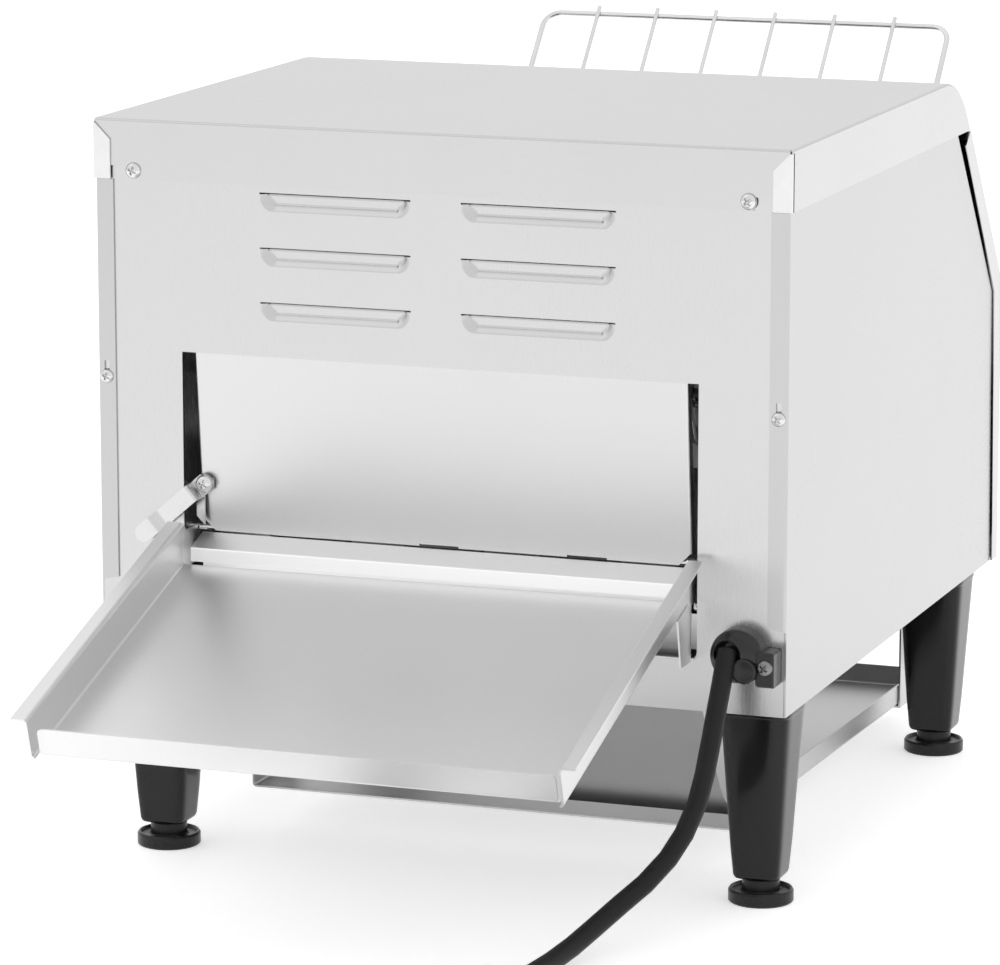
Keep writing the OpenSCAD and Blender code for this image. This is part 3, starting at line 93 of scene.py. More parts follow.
def rounded(corners, radii, steps=6):
    """Polyline with an arc of the given radius at each inner corner.
    The arc touches both sides r * tan(half the turn) from the corner, and its
    points turn evenly about its centre."""
    c = np.asarray(corners, float)
    out = [c[:1]]
    for i in range(1, len(c) - 1):
        a, b = c[i - 1] - c[i], c[i + 1] - c[i]
        a, b = a / np.linalg.norm(a), b / np.linalg.norm(b)
        turn = pi - np.arccos(np.clip(a @ b, -1, 1))
        r = radii[i - 1]
        if r <= 0 or turn < 1e-4:
            out.append(c[i:i + 1])
            continue
        reach = r * tan(turn / 2)
        mid = (a + b) / np.linalg.norm(a + b)
        centre = c[i] + mid * r / cos(turn / 2)
        start = c[i] + a * reach - centre
        t = np.linspace(0, 1, steps + 1)[:, None] * turn
        out.append(centre + start * np.cos(t) - a * r * np.sin(t))
    out.append(c[-1:])
    return np.concatenate(out)


def quads(nu, nv, close_u=False, close_v=False):
    """Corner numbers of every cell of an nu by nv grid of points."""
    i = np.arange(nu if close_u else nu - 1)
    j = np.arange(nv if close_v else nv - 1)
    i, j = np.meshgrid(i, j, indexing="ij")
    k, l = (i + 1) % nu, (j + 1) % nv
    return np.stack([i * nv + j, k * nv + j, k * nv + l, i * nv + l], -1).reshape(-1, 4)


def unit(v):
    """Each row divided by its length."""
    return v / np.linalg.norm(v, axis=1, keepdims=True)


def face_lists(faces):
    """Faces as plain lists, from an array or from lists."""
    return faces.tolist() if isinstance(faces, np.ndarray) else faces


def grid_normals(p):
    """Unit normals of a grid of points: the cross product of its two central differences."""
    n = np.cross(np.gradient(p, axis=0), np.gradient(p, axis=1))
    length = np.linalg.norm(n, axis=-1, keepdims=True)
    return n / np.maximum(length, 1e-9)


def folded_sheet(p, t=SKIN, keep=None, flip=False, normals=None):
    """Closed sheet of thickness t: the grid p is its outer face, the inner one lies t behind it
    along the normals, and each edge of the kept cells gets a narrow face between the two."""
    nu, nv = p.shape[:2]
    n = grid_normals(p) if normals is None else normals
    if flip:
        n = -n
    q = quads(nu, nv)
    if keep is not None:
        q = q[np.asarray(keep).reshape(-1)]
    if flip:
        q = q[:, ::-1]
    m = nu * nv
    verts = np.concatenate([p.reshape(-1, 3), (p - n * t).reshape(-1, 3)])
    a, b = q.reshape(-1), np.roll(q, -1, axis=1).reshape(-1)
    rim = ~np.isin(a * m + b, b * m + a)
    a, b = a[rim], b[rim]
    faces = np.concatenate([q, q[:, ::-1] + m, np.stack([b, a, a + m, b + m], 1)])
    return verts, faces


def turned(profile, centre, axis="z", sides=48):
    """Surface of revolution: each (radius, height) of the profile makes a ring about the axis."""
    pr = np.asarray(profile, float)
    a = np.linspace(0, 2 * pi, sides, endpoint=False)
    r, h = pr[:, :1], pr[:, 1:]
    u, v, w = r * np.cos(a), r * np.sin(a), h + 0 * a
    xyz = {"z": (u, v, w), "x": (w, u, v), "y": (v, w, u)}[axis]
    p = np.stack(xyz, -1) + np.asarray(centre, float)
    return p.reshape(-1, 3), quads(len(pr), sides, close_v=True)


def wire(path, r, across, sides=12):
    """Round wire along a flat path: each ring is cos of the path's side and sin of across,
    the direction square to the path's plane."""
    path = np.asarray(path, float)
    across = np.asarray(across, float)
    t = unit(np.gradient(path, axis=0))
    side = unit(np.cross(across, t))
    a = np.linspace(0, 2 * pi, sides, endpoint=False)[None, :, None]
    p = path[:, None] + r * (np.cos(a) * side[:, None] + np.sin(a) * np.cross(t, side)[:, None])
    n = len(path)
    faces = quads(n, sides, close_v=True).tolist()
    faces += [list(range(sides))[::-1], [(n - 1) * sides + k for k in range(sides)]]
    return p.reshape(-1, 3), faces


def joined(parts):
    """One list of points and one of faces from several."""
    verts, faces, start = [], [], 0
    for v, f in parts:
        v = np.asarray(v, float)
        f = face_lists(f)
        verts.append(v)
        faces += [[int(k) + start for k in face] for face in f]
        start += len(v)
    return np.concatenate(verts), faces


def piece(name, parts, material, body, replaces=(), sharp=30):
    """Puts parts, each (points in mm, faces), into one mesh object that rides on body."""
    verts, faces = joined(parts)
    mesh = bpy.data.meshes.new(name)
    mesh.from_pydata(row(verts).tolist(), [], faces)
    bm = bmesh.new()
    bm.from_mesh(mesh)
    bmesh.ops.remove_doubles(bm, verts=bm.verts, dist=2e-6)
    bmesh.ops.dissolve_degenerate(bm, dist=1e-6, edges=bm.edges)
    loose = [v for v in bm.verts if not v.link_faces]
    bmesh.ops.delete(bm, geom=loose, context="VERTS")
    bmesh.ops.recalc_face_normals(bm, faces=bm.faces)
    bm.to_mesh(mesh)
    bm.free()
    obj = bpy.data.objects.new(name, mesh)
    bpy.context.scene.collection.objects.link(obj)
    mesh.materials.append(material)
    mesh.shade_smooth()
    mesh.set_sharp_from_angle(angle=radians(sharp))
    even = obj.modifiers.new("flats", "WEIGHTED_NORMAL")
    even.keep_sharp = True
    even.weight = 100
    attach(obj, body)
    if replaces:
        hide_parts(*replaces)
    return obj


def softened(node, width, material, body):
    """A copy of a CAD node with its edges rounded: doubles merged, flat faces joined, then a bevel."""
    source = frame["nodes"][node]
    mesh = source.data.copy()
    bm = bmesh.new()
    bm.from_mesh(mesh)
    bmesh.ops.remove_doubles(bm, verts=bm.verts, dist=1e-6)
    bmesh.ops.dissolve_limit(bm, angle_limit=radians(0.5), verts=bm.verts, edges=bm.edges)
    bm.to_mesh(mesh)
    bm.free()
    obj = bpy.data.objects.new("soft_" + node, mesh)
    bpy.context.scene.collection.objects.link(obj)
    for s in obj.material_slots:
        s.material = material
    if not obj.material_slots:
        mesh.materials.append(material)
    mesh.shade_smooth()
    sharp = radians(35)
    mesh.set_sharp_from_angle(angle=sharp)
    bevel = obj.modifiers.new("edge", "BEVEL")
    bevel.width = width / 1000
    bevel.segments = 2
    bevel.limit_method = "ANGLE"
    bevel.angle_limit = sharp
    bevel.harden_normals = True
    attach(obj, body)
    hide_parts(node)
    return obj


# --- Finishes ---
def group(name, inputs, outputs):
    """New shader node group with its sockets; returns it with its input and output nodes."""
    tree = bpy.data.node_groups.new(name, "ShaderNodeTree")
    for label, kind, default in inputs:
        socket = tree.interface.new_socket(name=label, in_out="INPUT", socket_type=kind)
        socket.default_value = default
    for label, kind in outputs:
        tree.interface.new_socket(name=label, in_out="OUTPUT", socket_type=kind)
    return tree, tree.nodes.new("NodeGroupInput"), tree.nodes.new("NodeGroupOutput")


def math_node(tree, operation, a, b=None, c=None):
    """Output of a new maths node; each of a, b and c is a number or another node's output."""
    n = tree.nodes.new("ShaderNodeMath")
    n.operation = operation
    for i, v in enumerate((a, b, c)):
        if v is None:
            continue
        if isinstance(v, (int, float)):
            n.inputs[i].default_value = v
        else:
            tree.links.new(v, n.inputs[i])
    return n.outputs[0]


def noise_node(tree, vector, scale, detail=3.0, rough=0.5):
    """Output of a new noise node on the given coordinates."""
    n = tree.nodes.new("ShaderNodeTexNoise")
    tree.links.new(vector, n.inputs["Vector"])
    if isinstance(scale, (int, float)):
        n.inputs["Scale"].default_value = scale
    else:
        tree.links.new(scale, n.inputs["Scale"])
    n.inputs["Detail"].default_value = detail
    n.inputs["Roughness"].default_value = rough
    return n.outputs["Fac"]


def grain_group():
    """Brushed grain: noise drawn out along one axis sets roughness and a shallow bump."""
    if "toaster_grain" in bpy.data.node_groups:
        return bpy.data.node_groups["toaster_grain"]
    tree, gin, gout = group(
        "toaster_grain",
        [("Stretch", "NodeSocketVector", (1.0, 1.0, 1.0)), ("Roughness", "NodeSocketFloat", 0.3),
         ("Spread", "NodeSocketFloat", 0.08), ("Bump", "NodeSocketFloat", 0.05)],
        [("Roughness", "NodeSocketFloat"), ("Normal", "NodeSocketVector")])
    coord = tree.nodes.new("ShaderNodeTexCoord").outputs["Object"]
    stretch = tree.nodes.new("ShaderNodeVectorMath")
    stretch.operation = "MULTIPLY"
    tree.links.new(coord, stretch.inputs[0])
    tree.links.new(gin.outputs["Stretch"], stretch.inputs[1])
    fine = noise_node(tree, stretch.outputs[0], 1.0, 2.0, 0.6)
    smudge = noise_node(tree, coord, 7.0, 3.0, 0.55)
    spread = math_node(tree, "MULTIPLY", math_node(tree, "SUBTRACT", fine, 0.5), gin.outputs["Spread"])
    wide = math_node(tree, "MULTIPLY", math_node(tree, "SUBTRACT", smudge, 0.5), gin.outputs["Spread"])
    rough = math_node(tree, "ADD", gin.outputs["Roughness"], math_node(tree, "ADD", spread, wide))
    bump = tree.nodes.new("ShaderNodeBump")
    bump.inputs["Distance"].default_value = 0.00004
    tree.links.new(gin.outputs["Bump"], bump.inputs["Strength"])
    tree.links.new(fine, bump.inputs["Height"])
    tree.links.new(rough, gout.inputs["Roughness"])
    tree.links.new(bump.outputs["Normal"], gout.inputs["Normal"])
    return tree


def mottle_group():
    """Slow change between two colours, by a soft noise on the object's own coordinates."""
    if "toaster_mottle" in bpy.data.node_groups:
        return bpy.data.node_groups["toaster_mottle"]
    tree, gin, gout = group(
        "toaster_mottle",
        [("Dark", "NodeSocketColor", (0.5, 0.5, 0.5, 1)), ("Light", "NodeSocketColor", (0.8, 0.8, 0.8, 1)),
         ("Scale", "NodeSocketFloat", 20.0)],
        [("Color", "NodeSocketColor")])
    coord = tree.nodes.new("ShaderNodeTexCoord").outputs["Object"]
    fac = noise_node(tree, coord, gin.outputs["Scale"], 4.0, 0.55)
    mix = tree.nodes.new("ShaderNodeMix")
    mix.data_type = "RGBA"
    tree.links.new(fac, mix.inputs["Factor"])
    tree.links.new(gin.outputs["Dark"], mix.inputs["A"])
    tree.links.new(gin.outputs["Light"], mix.inputs["B"])
    tree.links.new(mix.outputs["Result"], gout.inputs["Color"])
    return tree


def shader(name):
    """New material with only its Principled shader; returns material, tree and shader."""
    m = bpy.data.materials.new(name)
    m.use_nodes = True
    tree = m.node_tree
    return m, tree, next(n for n in tree.nodes if n.type == "BSDF_PRINCIPLED")


def add_group(tree, kind, **values):
    """New node of a shader group with its inputs set."""
    n = tree.nodes.new("ShaderNodeGroup")
    n.node_tree = kind
    for k, v in values.items():
        n.inputs[k].default_value = v
    return n


def metal(name, dark, light, rough, stretch, spread=0.02, bump=0.015, scale=9.0, metallic=1.0, lit_above=None):
    """Metal with a grain drawn along the axis whose stretch is least, and a slow change of tint.
    Above the two given heights the tint passes over to bright steel as painted light, and the tint below them stands as
    painted shade."""
    if name in bpy.data.materials:
        return bpy.data.materials[name]
    m, tree, s = shader(name)
    s.inputs["Metallic"].default_value = metallic
    g = add_group(tree, grain_group(), Stretch=stretch, Roughness=rough, Spread=spread, Bump=bump)
    c = add_group(tree, mottle_group(), Dark=(*dark, 1), Light=(*light, 1), Scale=scale)
    tint = c.outputs["Color"]
    # painted light: bright steel above the two heights; painted shade: the darker tint below them
    if lit_above:
        split = tree.nodes.new("ShaderNodeSeparateXYZ")
        tree.links.new(tree.nodes.new("ShaderNodeTexCoord").outputs["Object"], split.inputs[0])
        ramp = tree.nodes.new("ShaderNodeMapRange")
        tree.links.new(split.outputs["Z"], ramp.inputs["Value"])
        ramp.inputs["From Min"].default_value, ramp.inputs["From Max"].default_value = lit_above
        mix = tree.nodes.new("ShaderNodeMix")
        mix.data_type = "RGBA"
        tree.links.new(ramp.outputs["Result"], mix.inputs["Factor"])
        tree.links.new(tint, mix.inputs["A"])
        mix.inputs["B"].default_value = (0.97, 0.97, 0.97, 1)
        tint = mix.outputs["Result"]
    tree.links.new(tint, s.inputs["Base Color"])
    tree.links.new(g.outputs["Roughness"], s.inputs["Roughness"])
    tree.links.new(g.outputs["Normal"], s.inputs["Normal"])
    m.diffuse_color = (*light, 1)
    return m


def moulded(name, dark, light, rough, grain=900.0, bump=0.15, coat=0.0, scale=60.0, transmission=0.0, emission=0.0,
            specular=0.5):
    """Plastic, rubber or ceramic: fine even grain in the bump, slow change of tint."""
    if name in bpy.data.materials:
        return bpy.data.materials[name]
    m, tree, s = shader(name)
    g = add_group(tree, grain_group(), Stretch=(grain, grain, grain), Roughness=rough, Spread=0.08, Bump=bump)
    c = add_group(tree, mottle_group(), Dark=(*dark, 1), Light=(*light, 1), Scale=scale)
    tree.links.new(c.outputs["Color"], s.inputs["Base Color"])
    tree.links.new(g.outputs["Roughness"], s.inputs["Roughness"])
    tree.links.new(g.outputs["Normal"], s.inputs["Normal"])
    s.inputs["Coat Weight"].default_value = coat
    s.inputs["Coat Roughness"].default_value = 0.05
    s.inputs["Specular IOR Level"].default_value = specular
    s.inputs["Transmission Weight"].default_value = transmission
    if emission:
        s.inputs["Emission Color"].default_value = (*light, 1)
        s.inputs["Emission Strength"].default_value = emission
    m.diffuse_color = (*light, 1)
    return m


class FinishSettings(bpy.types.PropertyGroup):
    steel_light: FloatVectorProperty(
        name="Steel", description="Light tint of the satin steel sheets", subtype="COLOR",
        default=(0.60, 0.60, 0.60), min=0, max=1)
    steel_dark: FloatVectorProperty(
        name="Steel shade", description="Dark tint of the satin steel sheets", subtype="COLOR",
        default=(0.57, 0.57, 0.573), min=0, max=1)
    steel_rough: FloatProperty(
        name="Steel roughness", description="Roughness of the satin sheets", default=0.27, min=0.02, max=1)
    tray_rough: FloatProperty(
        name="Tray roughness", description="Roughness of the rear tray", default=0.36, min=0.02, max=1)
    leg_colour: FloatVectorProperty(
        name="Leg", description="Colour of the glossy legs", subtype="COLOR", default=(0.008, 0.008, 0.008),
        min=0, max=1)
    cord_colour: FloatVectorProperty(
        name="Cord", description="Colour of the cord's sheath", subtype="COLOR", default=(0.016, 0.016, 0.017),
        min=0, max=1)


ROUND = (300, 300, 300)
UPRIGHT, LEVEL, ALONG = (4200, 4200, 45), (45, 4200, 4200), (4200, 45, 4200)
TRAY_GRAIN = (3600, 60, 3600)
SHEETS = {          # satin sheets: name, share of the steel tint (painted shade: sheets lying level and facing sideways are darkened for how light falls on them), way the grain runs
    "upright": ("satin_steel_upright", 1.0, UPRIGHT),
    "level": ("satin_steel_level", 0.98, LEVEL),
    "along": ("satin_steel_along", 0.88, ALONG),
}
METALS = {          # name, dark and light tint, roughness, grain, then spread, bump, scale and metallic
    # cover tabs: the cover's own steel in a painted tone of their own, for how light falls on the tabs
    "tab": ("scuffed_steel", (0.70, 0.70, 0.705), (0.78, 0.78, 0.78), 0.34, ROUND, 0.08, 0.05, 120),
    "lever": ("lever_steel", (0.56, 0.56, 0.565), (0.70, 0.70, 0.70), 0.26, (300, 2400, 2400), 0.06, 0.04, 60),
    "plate": ("plate_steel", (0.63, 0.63, 0.63), (0.67, 0.67, 0.67), 0.30, UPRIGHT),
    "crumbs": ("dull_tray_steel", (0.54, 0.54, 0.543), (0.60, 0.60, 0.603), 0.40, TRAY_GRAIN),
    "mirror": ("bright_reflector", (0.82, 0.82, 0.82), (0.9, 0.9, 0.9), 0.12, (900, 40, 900), 0.08, 0.1),
    "wire": ("plated_wire", (0.62, 0.62, 0.63), (0.75, 0.75, 0.76), 0.14, ROUND, 0.08, 0.1, 40),
    "screw": ("plated_screw", (0.55, 0.55, 0.56), (0.8, 0.8, 0.8), 0.16, (500, 500, 500), 0.1, 0.2, 200),
    "oiled": ("oiled_steel", (0.16, 0.155, 0.15), (0.36, 0.36, 0.37), 0.34, (600, 600, 600), 0.2, 0.3, 60),
    "bronze": ("sintered_bronze", (0.40, 0.26, 0.11), (0.62, 0.44, 0.21), 0.45, (1500, 1500, 1500), 0.2, 0.5, 200),
    "motor": ("motor_paint", (0.10, 0.105, 0.115), (0.18, 0.19, 0.20), 0.4, (700, 700, 700), 0.12, 0.3, 30, 0.4),
}
MOULDED = {         # name, dark and light colour, roughness, grain, bump, coat, scale, transmission, emission
    "ivory": ("ivory_moulding", (0.62, 0.60, 0.54), (0.78, 0.77, 0.72), 0.4, 900, 0.2),
    "ceramic": ("heater_ceramic", (0.70, 0.67, 0.60), (0.86, 0.84, 0.79), 0.3, 700, 0.3, 0.3),
    "board": ("circuit_board", (0.02, 0.11, 0.05), (0.05, 0.20, 0.09), 0.35, 600, 0.3, 0.2, 300),
    "quartz": ("quartz_tube", (0.80, 0.72, 0.66), (0.93, 0.9, 0.88), 0.12, 300, 0.1, 0.3, 30, 0.6),
    "lamp": ("lamp_lens", (0.62, 0.16, 0.03), (0.85, 0.30, 0.06), 0.12, 300, 0.05, 0.6, 90, 0.2, 0.15),
    "mark": ("printed_scale", (0.02, 0.02, 0.02), (0.04, 0.04, 0.04), 0.5, 2500, 0.2),
    "foot": ("foot_nylon", (0.012, 0.012, 0.012), (0.020, 0.020, 0.021), 0.28, 1500, 0.2, 0.0, 60, 0.0, 0.0, 0.3),
    "black": ("black_moulding", (0.010, 0.010, 0.010), (0.018, 0.018, 0.019), 0.24, 1800, 0.2, 0.0, 60, 0.0, 0.0,
              0.4),
}


def finish(kind):
    """Material of one of the toaster's finishes, made when first asked for."""
    f = bpy.context.scene.toaster_finish
    if kind in SHEETS:
        # lit and shaded copies of one steel: the share is painted shade by the way the sheet faces
        name, share, grain = SHEETS[kind]
        return metal(name, [v * share for v in f.steel_dark], [v * share for v in f.steel_light], f.steel_rough, grain)
    if kind in METALS:
        return metal(*METALS[kind])
    if kind in MOULDED:
        return moulded(*MOULDED[kind])
    if kind == "tray":
        # the tray's own pale steel, its tint raised further as painted light against the shade inside the tray
        return metal("tray_steel", (0.76, 0.76, 0.763), (0.82, 0.82, 0.82), f.tray_rough, TRAY_GRAIN, 0.04, 0.05)
    if kind == "chute":         # painted light on the sill, painted shade on the slope below it
        return metal("heat_dulled_steel", (0.30, 0.30, 0.303), (0.36, 0.36, 0.362), 0.42, LEVEL, scale=14,
                     lit_above=SILL_HEIGHTS)
    if kind == "leg":
        return moulded("gloss_enamel", tuple(f.leg_colour), [v * 1.5 for v in f.leg_colour], 0.17, 500, 0.02, 0.15,
                       specular=0.25)
    if kind == "cord":
        return moulded("cord_sheath", [v * 0.8 for v in f.cord_colour], tuple(f.cord_colour), 0.42, 2200, 0.3, 0.0,
                       120, specular=0.2)
    raise ValueError("no finish named " + kind)


NODE_FINISH = {
    "upright": ["base_pan", "inner_wall_left", "inner_wall_right", "chamber_floor", "chute", "front_panel",
                "motor_bracket"],
    "along": ["tray_hangers", "belt_guides", "rack_brackets", "latch_bracket"],
    "mirror": ["upper_reflector"],
    "wire": ["deflector_rod", "feed_rack", "conveyor_belt"],
    "screw": ["latch_screw", "tray_studs", "leg_bolts", "cover_screws", "panel_screws"],
    "oiled": ["drive_chain", "rear_shaft", "rear_sprockets", "front_shaft", "front_sprockets", "motor_sprocket",
              "driven_sprocket"],
    "bronze": ["shaft_bushes"],
    "motor": ["gearmotor"],
    "quartz": ["upper_heaters", "lower_heaters"],
    "ceramic": ["heater_caps"],
    "ivory": ["selector_switch", "terminal_block"],
    "board": ["speed_controller"],
    "lamp": ["pilot_lamps"],
    "black": ["cable_gland", "gland_nut", "plug", "selector_knob", "speed_knob"],
    "cord": ["power_cord", "cord_coil"],
    "leg": ["leg_front_left", "leg_front_right", "leg_rear_left", "leg_rear_right"],
    "foot": ["foot_front_left", "foot_front_right", "foot_rear_left", "foot_rear_right"],
    "tray": ["rear_tray", "toast_tray", "deflector", "latch", "top_cover", "side_panel_left", "side_panel_right",
             "rear_panel"],
}


class TOASTER_OT_finishes(bpy.types.Operator):
    """Give every node of the frame its finish"""
    bl_idname = "toaster.finishes"
    bl_label = "Finishes"

    def execute(self, context):
        for kind, nodes in NODE_FINISH.items():
            for node in nodes:
                obj = frame["nodes"][node]
                for s in obj.material_slots:
                    s.material = finish(kind)
        return {"FINISHED"}


# --- Camera, stage ---
class StageSettings(bpy.types.PropertyGroup):
    azimuth: FloatProperty(name="Azimuth", description="Direction of view round the toaster", default=radians(199.94),
                           subtype="ANGLE")
    elevation: FloatProperty(name="Elevation", description="Height of the view over the horizon",
                             default=radians(11.22), subtype="ANGLE")
    camera_place: FloatVectorProperty(name="Camera", description="Where the camera stands", subtype="TRANSLATION",
                                      unit="LENGTH", default=(-0.897, 2.5374, 0.713))
    lens: FloatProperty(name="Lens", description="Focal length on a 36 mm sensor", default=187.1, min=20, max=400)
    floor_colour: FloatVectorProperty(name="Floor", description="Colour of the floor", subtype="COLOR",
                                      default=(0.86, 0.86, 0.86), min=0, max=1)
    floor_glow: FloatProperty(name="Floor glow", description="Light given off by the floor itself", default=0.50, min=0,
                              max=2)
    sky: FloatProperty(name="Sky", description="Strength of the light from all round", default=0.80, min=0, max=5)
    key: FloatProperty(name="Key light", description="Power of the large lamp", subtype="POWER", default=2.5, min=0)


class TOASTER_OT_camera(bpy.types.Operator):
    """Stand the camera where the toaster is seen from its rear corner"""
    bl_idname = "toaster.camera"
    bl_label = "Camera"

    def execute(self, context):
        st = context.scene.toaster_stage
        data = bpy.data.cameras.new("camera")
        data.lens = st.lens
        data.sensor_width = 36
        data.clip_end = 50
        cam = bpy.data.objects.new("camera", data)
        context.scene.collection.objects.link(cam)
        look = Vector((-sin(st.azimuth) * cos(st.elevation), cos(st.azimuth) * cos(st.elevation),
                       -sin(st.elevation)))
        cam.location = st.camera_place
        cam.rotation_euler = look.to_track_quat("-Z", "Y").to_euler()
        context.scene.camera = cam
        return {"FINISHED"}


def seen_ray(tree, path):
    """1 for a ray from the eye, from a mirror or through glass, which meet the white background."""
    eye = math_node(tree, "MAXIMUM", path.outputs["Is Camera Ray"], path.outputs["Is Transmission Ray"])
    return math_node(tree, "MAXIMUM", eye, path.outputs["Is Glossy Ray"])


class TOASTER_OT_stage(bpy.types.Operator):
    """Pale floor, soft lamps and an even sky"""
    bl_idname = "toaster.stage"
    bl_label = "Stage"

    def execute(self, context):
        st = context.scene.toaster_stage
        scene = context.scene
        scene.view_settings.view_transform = "Standard"
        world = bpy.data.worlds.new("sky")
        world.use_nodes = True
        t = world.node_tree
        back = next(n for n in t.nodes if n.type == "BACKGROUND")
        path = t.nodes.new("ShaderNodeLightPath")
        shown = seen_ray(t, path)
        # brighter overhead than at the horizon
        coord = t.nodes.new("ShaderNodeTexCoord")
        sep = t.nodes.new("ShaderNodeSeparateXYZ")
        t.links.new(coord.outputs["Generated"], sep.inputs[0])
        up = math_node(t, "MULTIPLY_ADD", sep.outputs["Z"], 0.60, 0.78)
        lit = math_node(t, "MULTIPLY", up, st.sky)
        strength = math_node(t, "ADD", math_node(t, "MULTIPLY", lit, math_node(t, "SUBTRACT", 1.0, shown)), shown)
        t.links.new(strength, back.inputs["Strength"])
        back.inputs["Color"].default_value = (1, 1, 1, 1)
        scene.world = world

        # floor, shown white to the eye and to mirrors where it is lit
        v = np.array([[-8, -8, 0], [8, -8, 0], [8, 8, 0], [-8, 8, 0]], float)
        mesh = bpy.data.meshes.new("floor")
        mesh.from_pydata(v.tolist(), [], [[0, 1, 2, 3]])
        floor = bpy.data.objects.new("floor", mesh)
        scene.collection.objects.link(floor)
        m, tree, s = shader("pale_floor")
        c = add_group(tree, mottle_group(), Dark=(*[v * 0.985 for v in st.floor_colour], 1),
                      Light=(*st.floor_colour, 1), Scale=2.0)
        tree.links.new(c.outputs["Color"], s.inputs["Base Color"])
        s.inputs["Roughness"].default_value = 0.6
        s.inputs["Specular IOR Level"].default_value = 0.1
        s.inputs["Emission Color"].default_value = (1, 1, 1, 1)
        seen = seen_ray(tree, tree.nodes.new("ShaderNodeLightPath"))
        tree.links.new(math_node(tree, "MULTIPLY", seen, st.floor_glow), s.inputs["Emission Strength"])
        mesh.materials.append(m)

        for name, place, size, power in (
                ("key", (1.6, 1.4, 2.6), 1.8, st.key), ("fill", (-2.4, 1.2, 1.4), 1.6, st.key * 0.35),
                ("top", (0.0, -0.6, 3.0), 2.2, st.key * 0.6)):
            data = bpy.data.lights.new(name, "AREA")
            data.energy = power
            data.size = size
            lamp = bpy.data.objects.new(name, data)
            lamp.location = place
            aim = Vector((0, 0.1, 0.2)) - Vector(place)
            lamp.rotation_euler = aim.to_track_quat("-Z", "Y").to_euler()
            scene.collection.objects.link(lamp)
        return {"FINISHED"}


# --- Cord ---
class CordSettings(bpy.types.PropertyGroup):
    diameter: FloatProperty(name="Diameter", description="Diameter of the cord", subtype="DISTANCE", unit="LENGTH",
                            default=0.010, min=0.004, max=0.02)
    coil_radius: FloatProperty(name="Coil radius", description="Mean radius of the stored coil", subtype="DISTANCE",
                               unit="LENGTH", default=0.055, min=0.03, max=0.1)
    turns: FloatProperty(name="Turns", description="Turns in the stored coil", default=3.25, min=1.25, max=3.9)


CORD_ROUTE = np.array([
    [-156.8, 10, 137.5], [-156.6, 14.5, 130.5], [-156.4, 19, 122], [-156, 23.6, 113], [-155.2, 30, 98],
    [-153.3, 34.6, 81], [-150.9, 39, 67], [-146.3, 45, 53], [-140.8, 53, 42], [-132.7, 64, 31.5],
    [-123.7, 75, 23], [-115.8, 90, 15], [-110.3, 107, 9.5], [-105.9, 124, 6.3], [-102, 150, 5.2],
    [-101, 180, 5.2], [-102.3, 202, 5.2], [-105.5, 225, 5.2], [-108.7, 248, 5.2]])
CORD_TAIL = np.array([
    [-50, 330, 15.2], [-41, 330, 15.2], [-32, 330, 15.2], [-22, 330, 13.95], [-12, 329.8, 10.2], [-2, 329.3, 6.45],
    [8, 328.6, 5.2], [20, 327.7, 6.9], [32, 326.8, 11.85], [44, 326.2, 16.8], [58, 326, 18.5]])
COIL_CENTRE = (-50.0, 270.0)


def coil_path(settings):
    """Turns lie two beside each other and two above: the angle runs on steadily while
    radius and height step from one lane to the next over a third of a turn."""
    d = settings.diameter * 1000
    r = settings.coil_radius * 1000
    per_turn = 40
    turn = np.linspace(0, settings.turns, int(settings.turns * per_turn) + 1)
    lanes = np.array([[d / 2, 0], [-d / 2, 0], [-d / 2, d], [d / 2, d]])
    i = np.minimum(np.floor(turn).astype(int), 3)
    w = np.clip((turn - i - 0.67) / 0.33, 0, 1)
    w = (w * w * (3 - 2 * w))[:, None]
    lane = lanes[i] * (1 - w) + lanes[np.minimum(i + 1, 3)] * w
    a = pi + turn * 2 * pi
    rad = r + lane[:, 0]
    return np.stack([COIL_CENTRE[0] + rad * np.cos(a), COIL_CENTRE[1] - rad * np.sin(a), lane[:, 1] + CORD_LIE], 1)


class TOASTER_OT_cord(bpy.types.Operator):
    """Lay the cord from its gland to the floor and wind its spare length into a coil with the plug"""
    bl_idname = "toaster.cord"
    bl_label = "Power cord"

    def execute(self, context):
        c = context.scene.toaster_cord
        coil = coil_path(c)
        pts = row(np.concatenate([CORD_ROUTE, coil[:-1], CORD_TAIL]))
        curve = bpy.data.curves.new("mains_cord", "CURVE")
        curve.dimensions = "3D"
        curve.bevel_depth = c.diameter / 2
        curve.bevel_resolution = 5
        curve.use_fill_caps = True
        spline = curve.splines.new("POLY")
        spline.points.add(len(pts) - 1)
        spline.points.foreach_set("co", np.c_[pts, np.ones(len(pts))].ravel())
        spline.use_smooth = True
        curve.materials.append(finish("cord"))
        cord = bpy.data.objects.new("mains_cord", curve)
        context.scene.collection.objects.link(cord)
        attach(cord, "housing")
        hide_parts("power_cord", "cord_coil")
        return {"FINISHED"}


# --- Case ---
class CaseSettings(bpy.types.PropertyGroup):
    fold: FloatProperty(name="Fold radius", description="Outer radius of the sheets' folds", subtype="DISTANCE",
                        unit="LENGTH", default=0.0014, min=0.0005, max=0.004)
    louvre_depth: FloatProperty(name="Louvre depth", description="How far the louvres are pressed in",
                                subtype="DISTANCE", unit="LENGTH", default=0.0026, min=0.001, max=0.008)
    louvre_length: FloatProperty(name="Louvre length", description="Length of a louvre", subtype="DISTANCE",
                                 unit="LENGTH", default=0.0807, min=0.03, max=0.12)
    louvre_height: FloatProperty(name="Louvre height", description="Height of a louvre", subtype="DISTANCE",
                                 unit="LENGTH", default=0.0095, min=0.004, max=0.02)


def across_fold(x, r, steps=5):
    """(x, depth) of a sheet's edge folded down at x, along an arc of radius r."""
    a = np.linspace(0, pi / 2, steps + 1)
    return np.stack([x - r + r * np.sin(a), r - r * np.cos(a)], 1)[::-1]


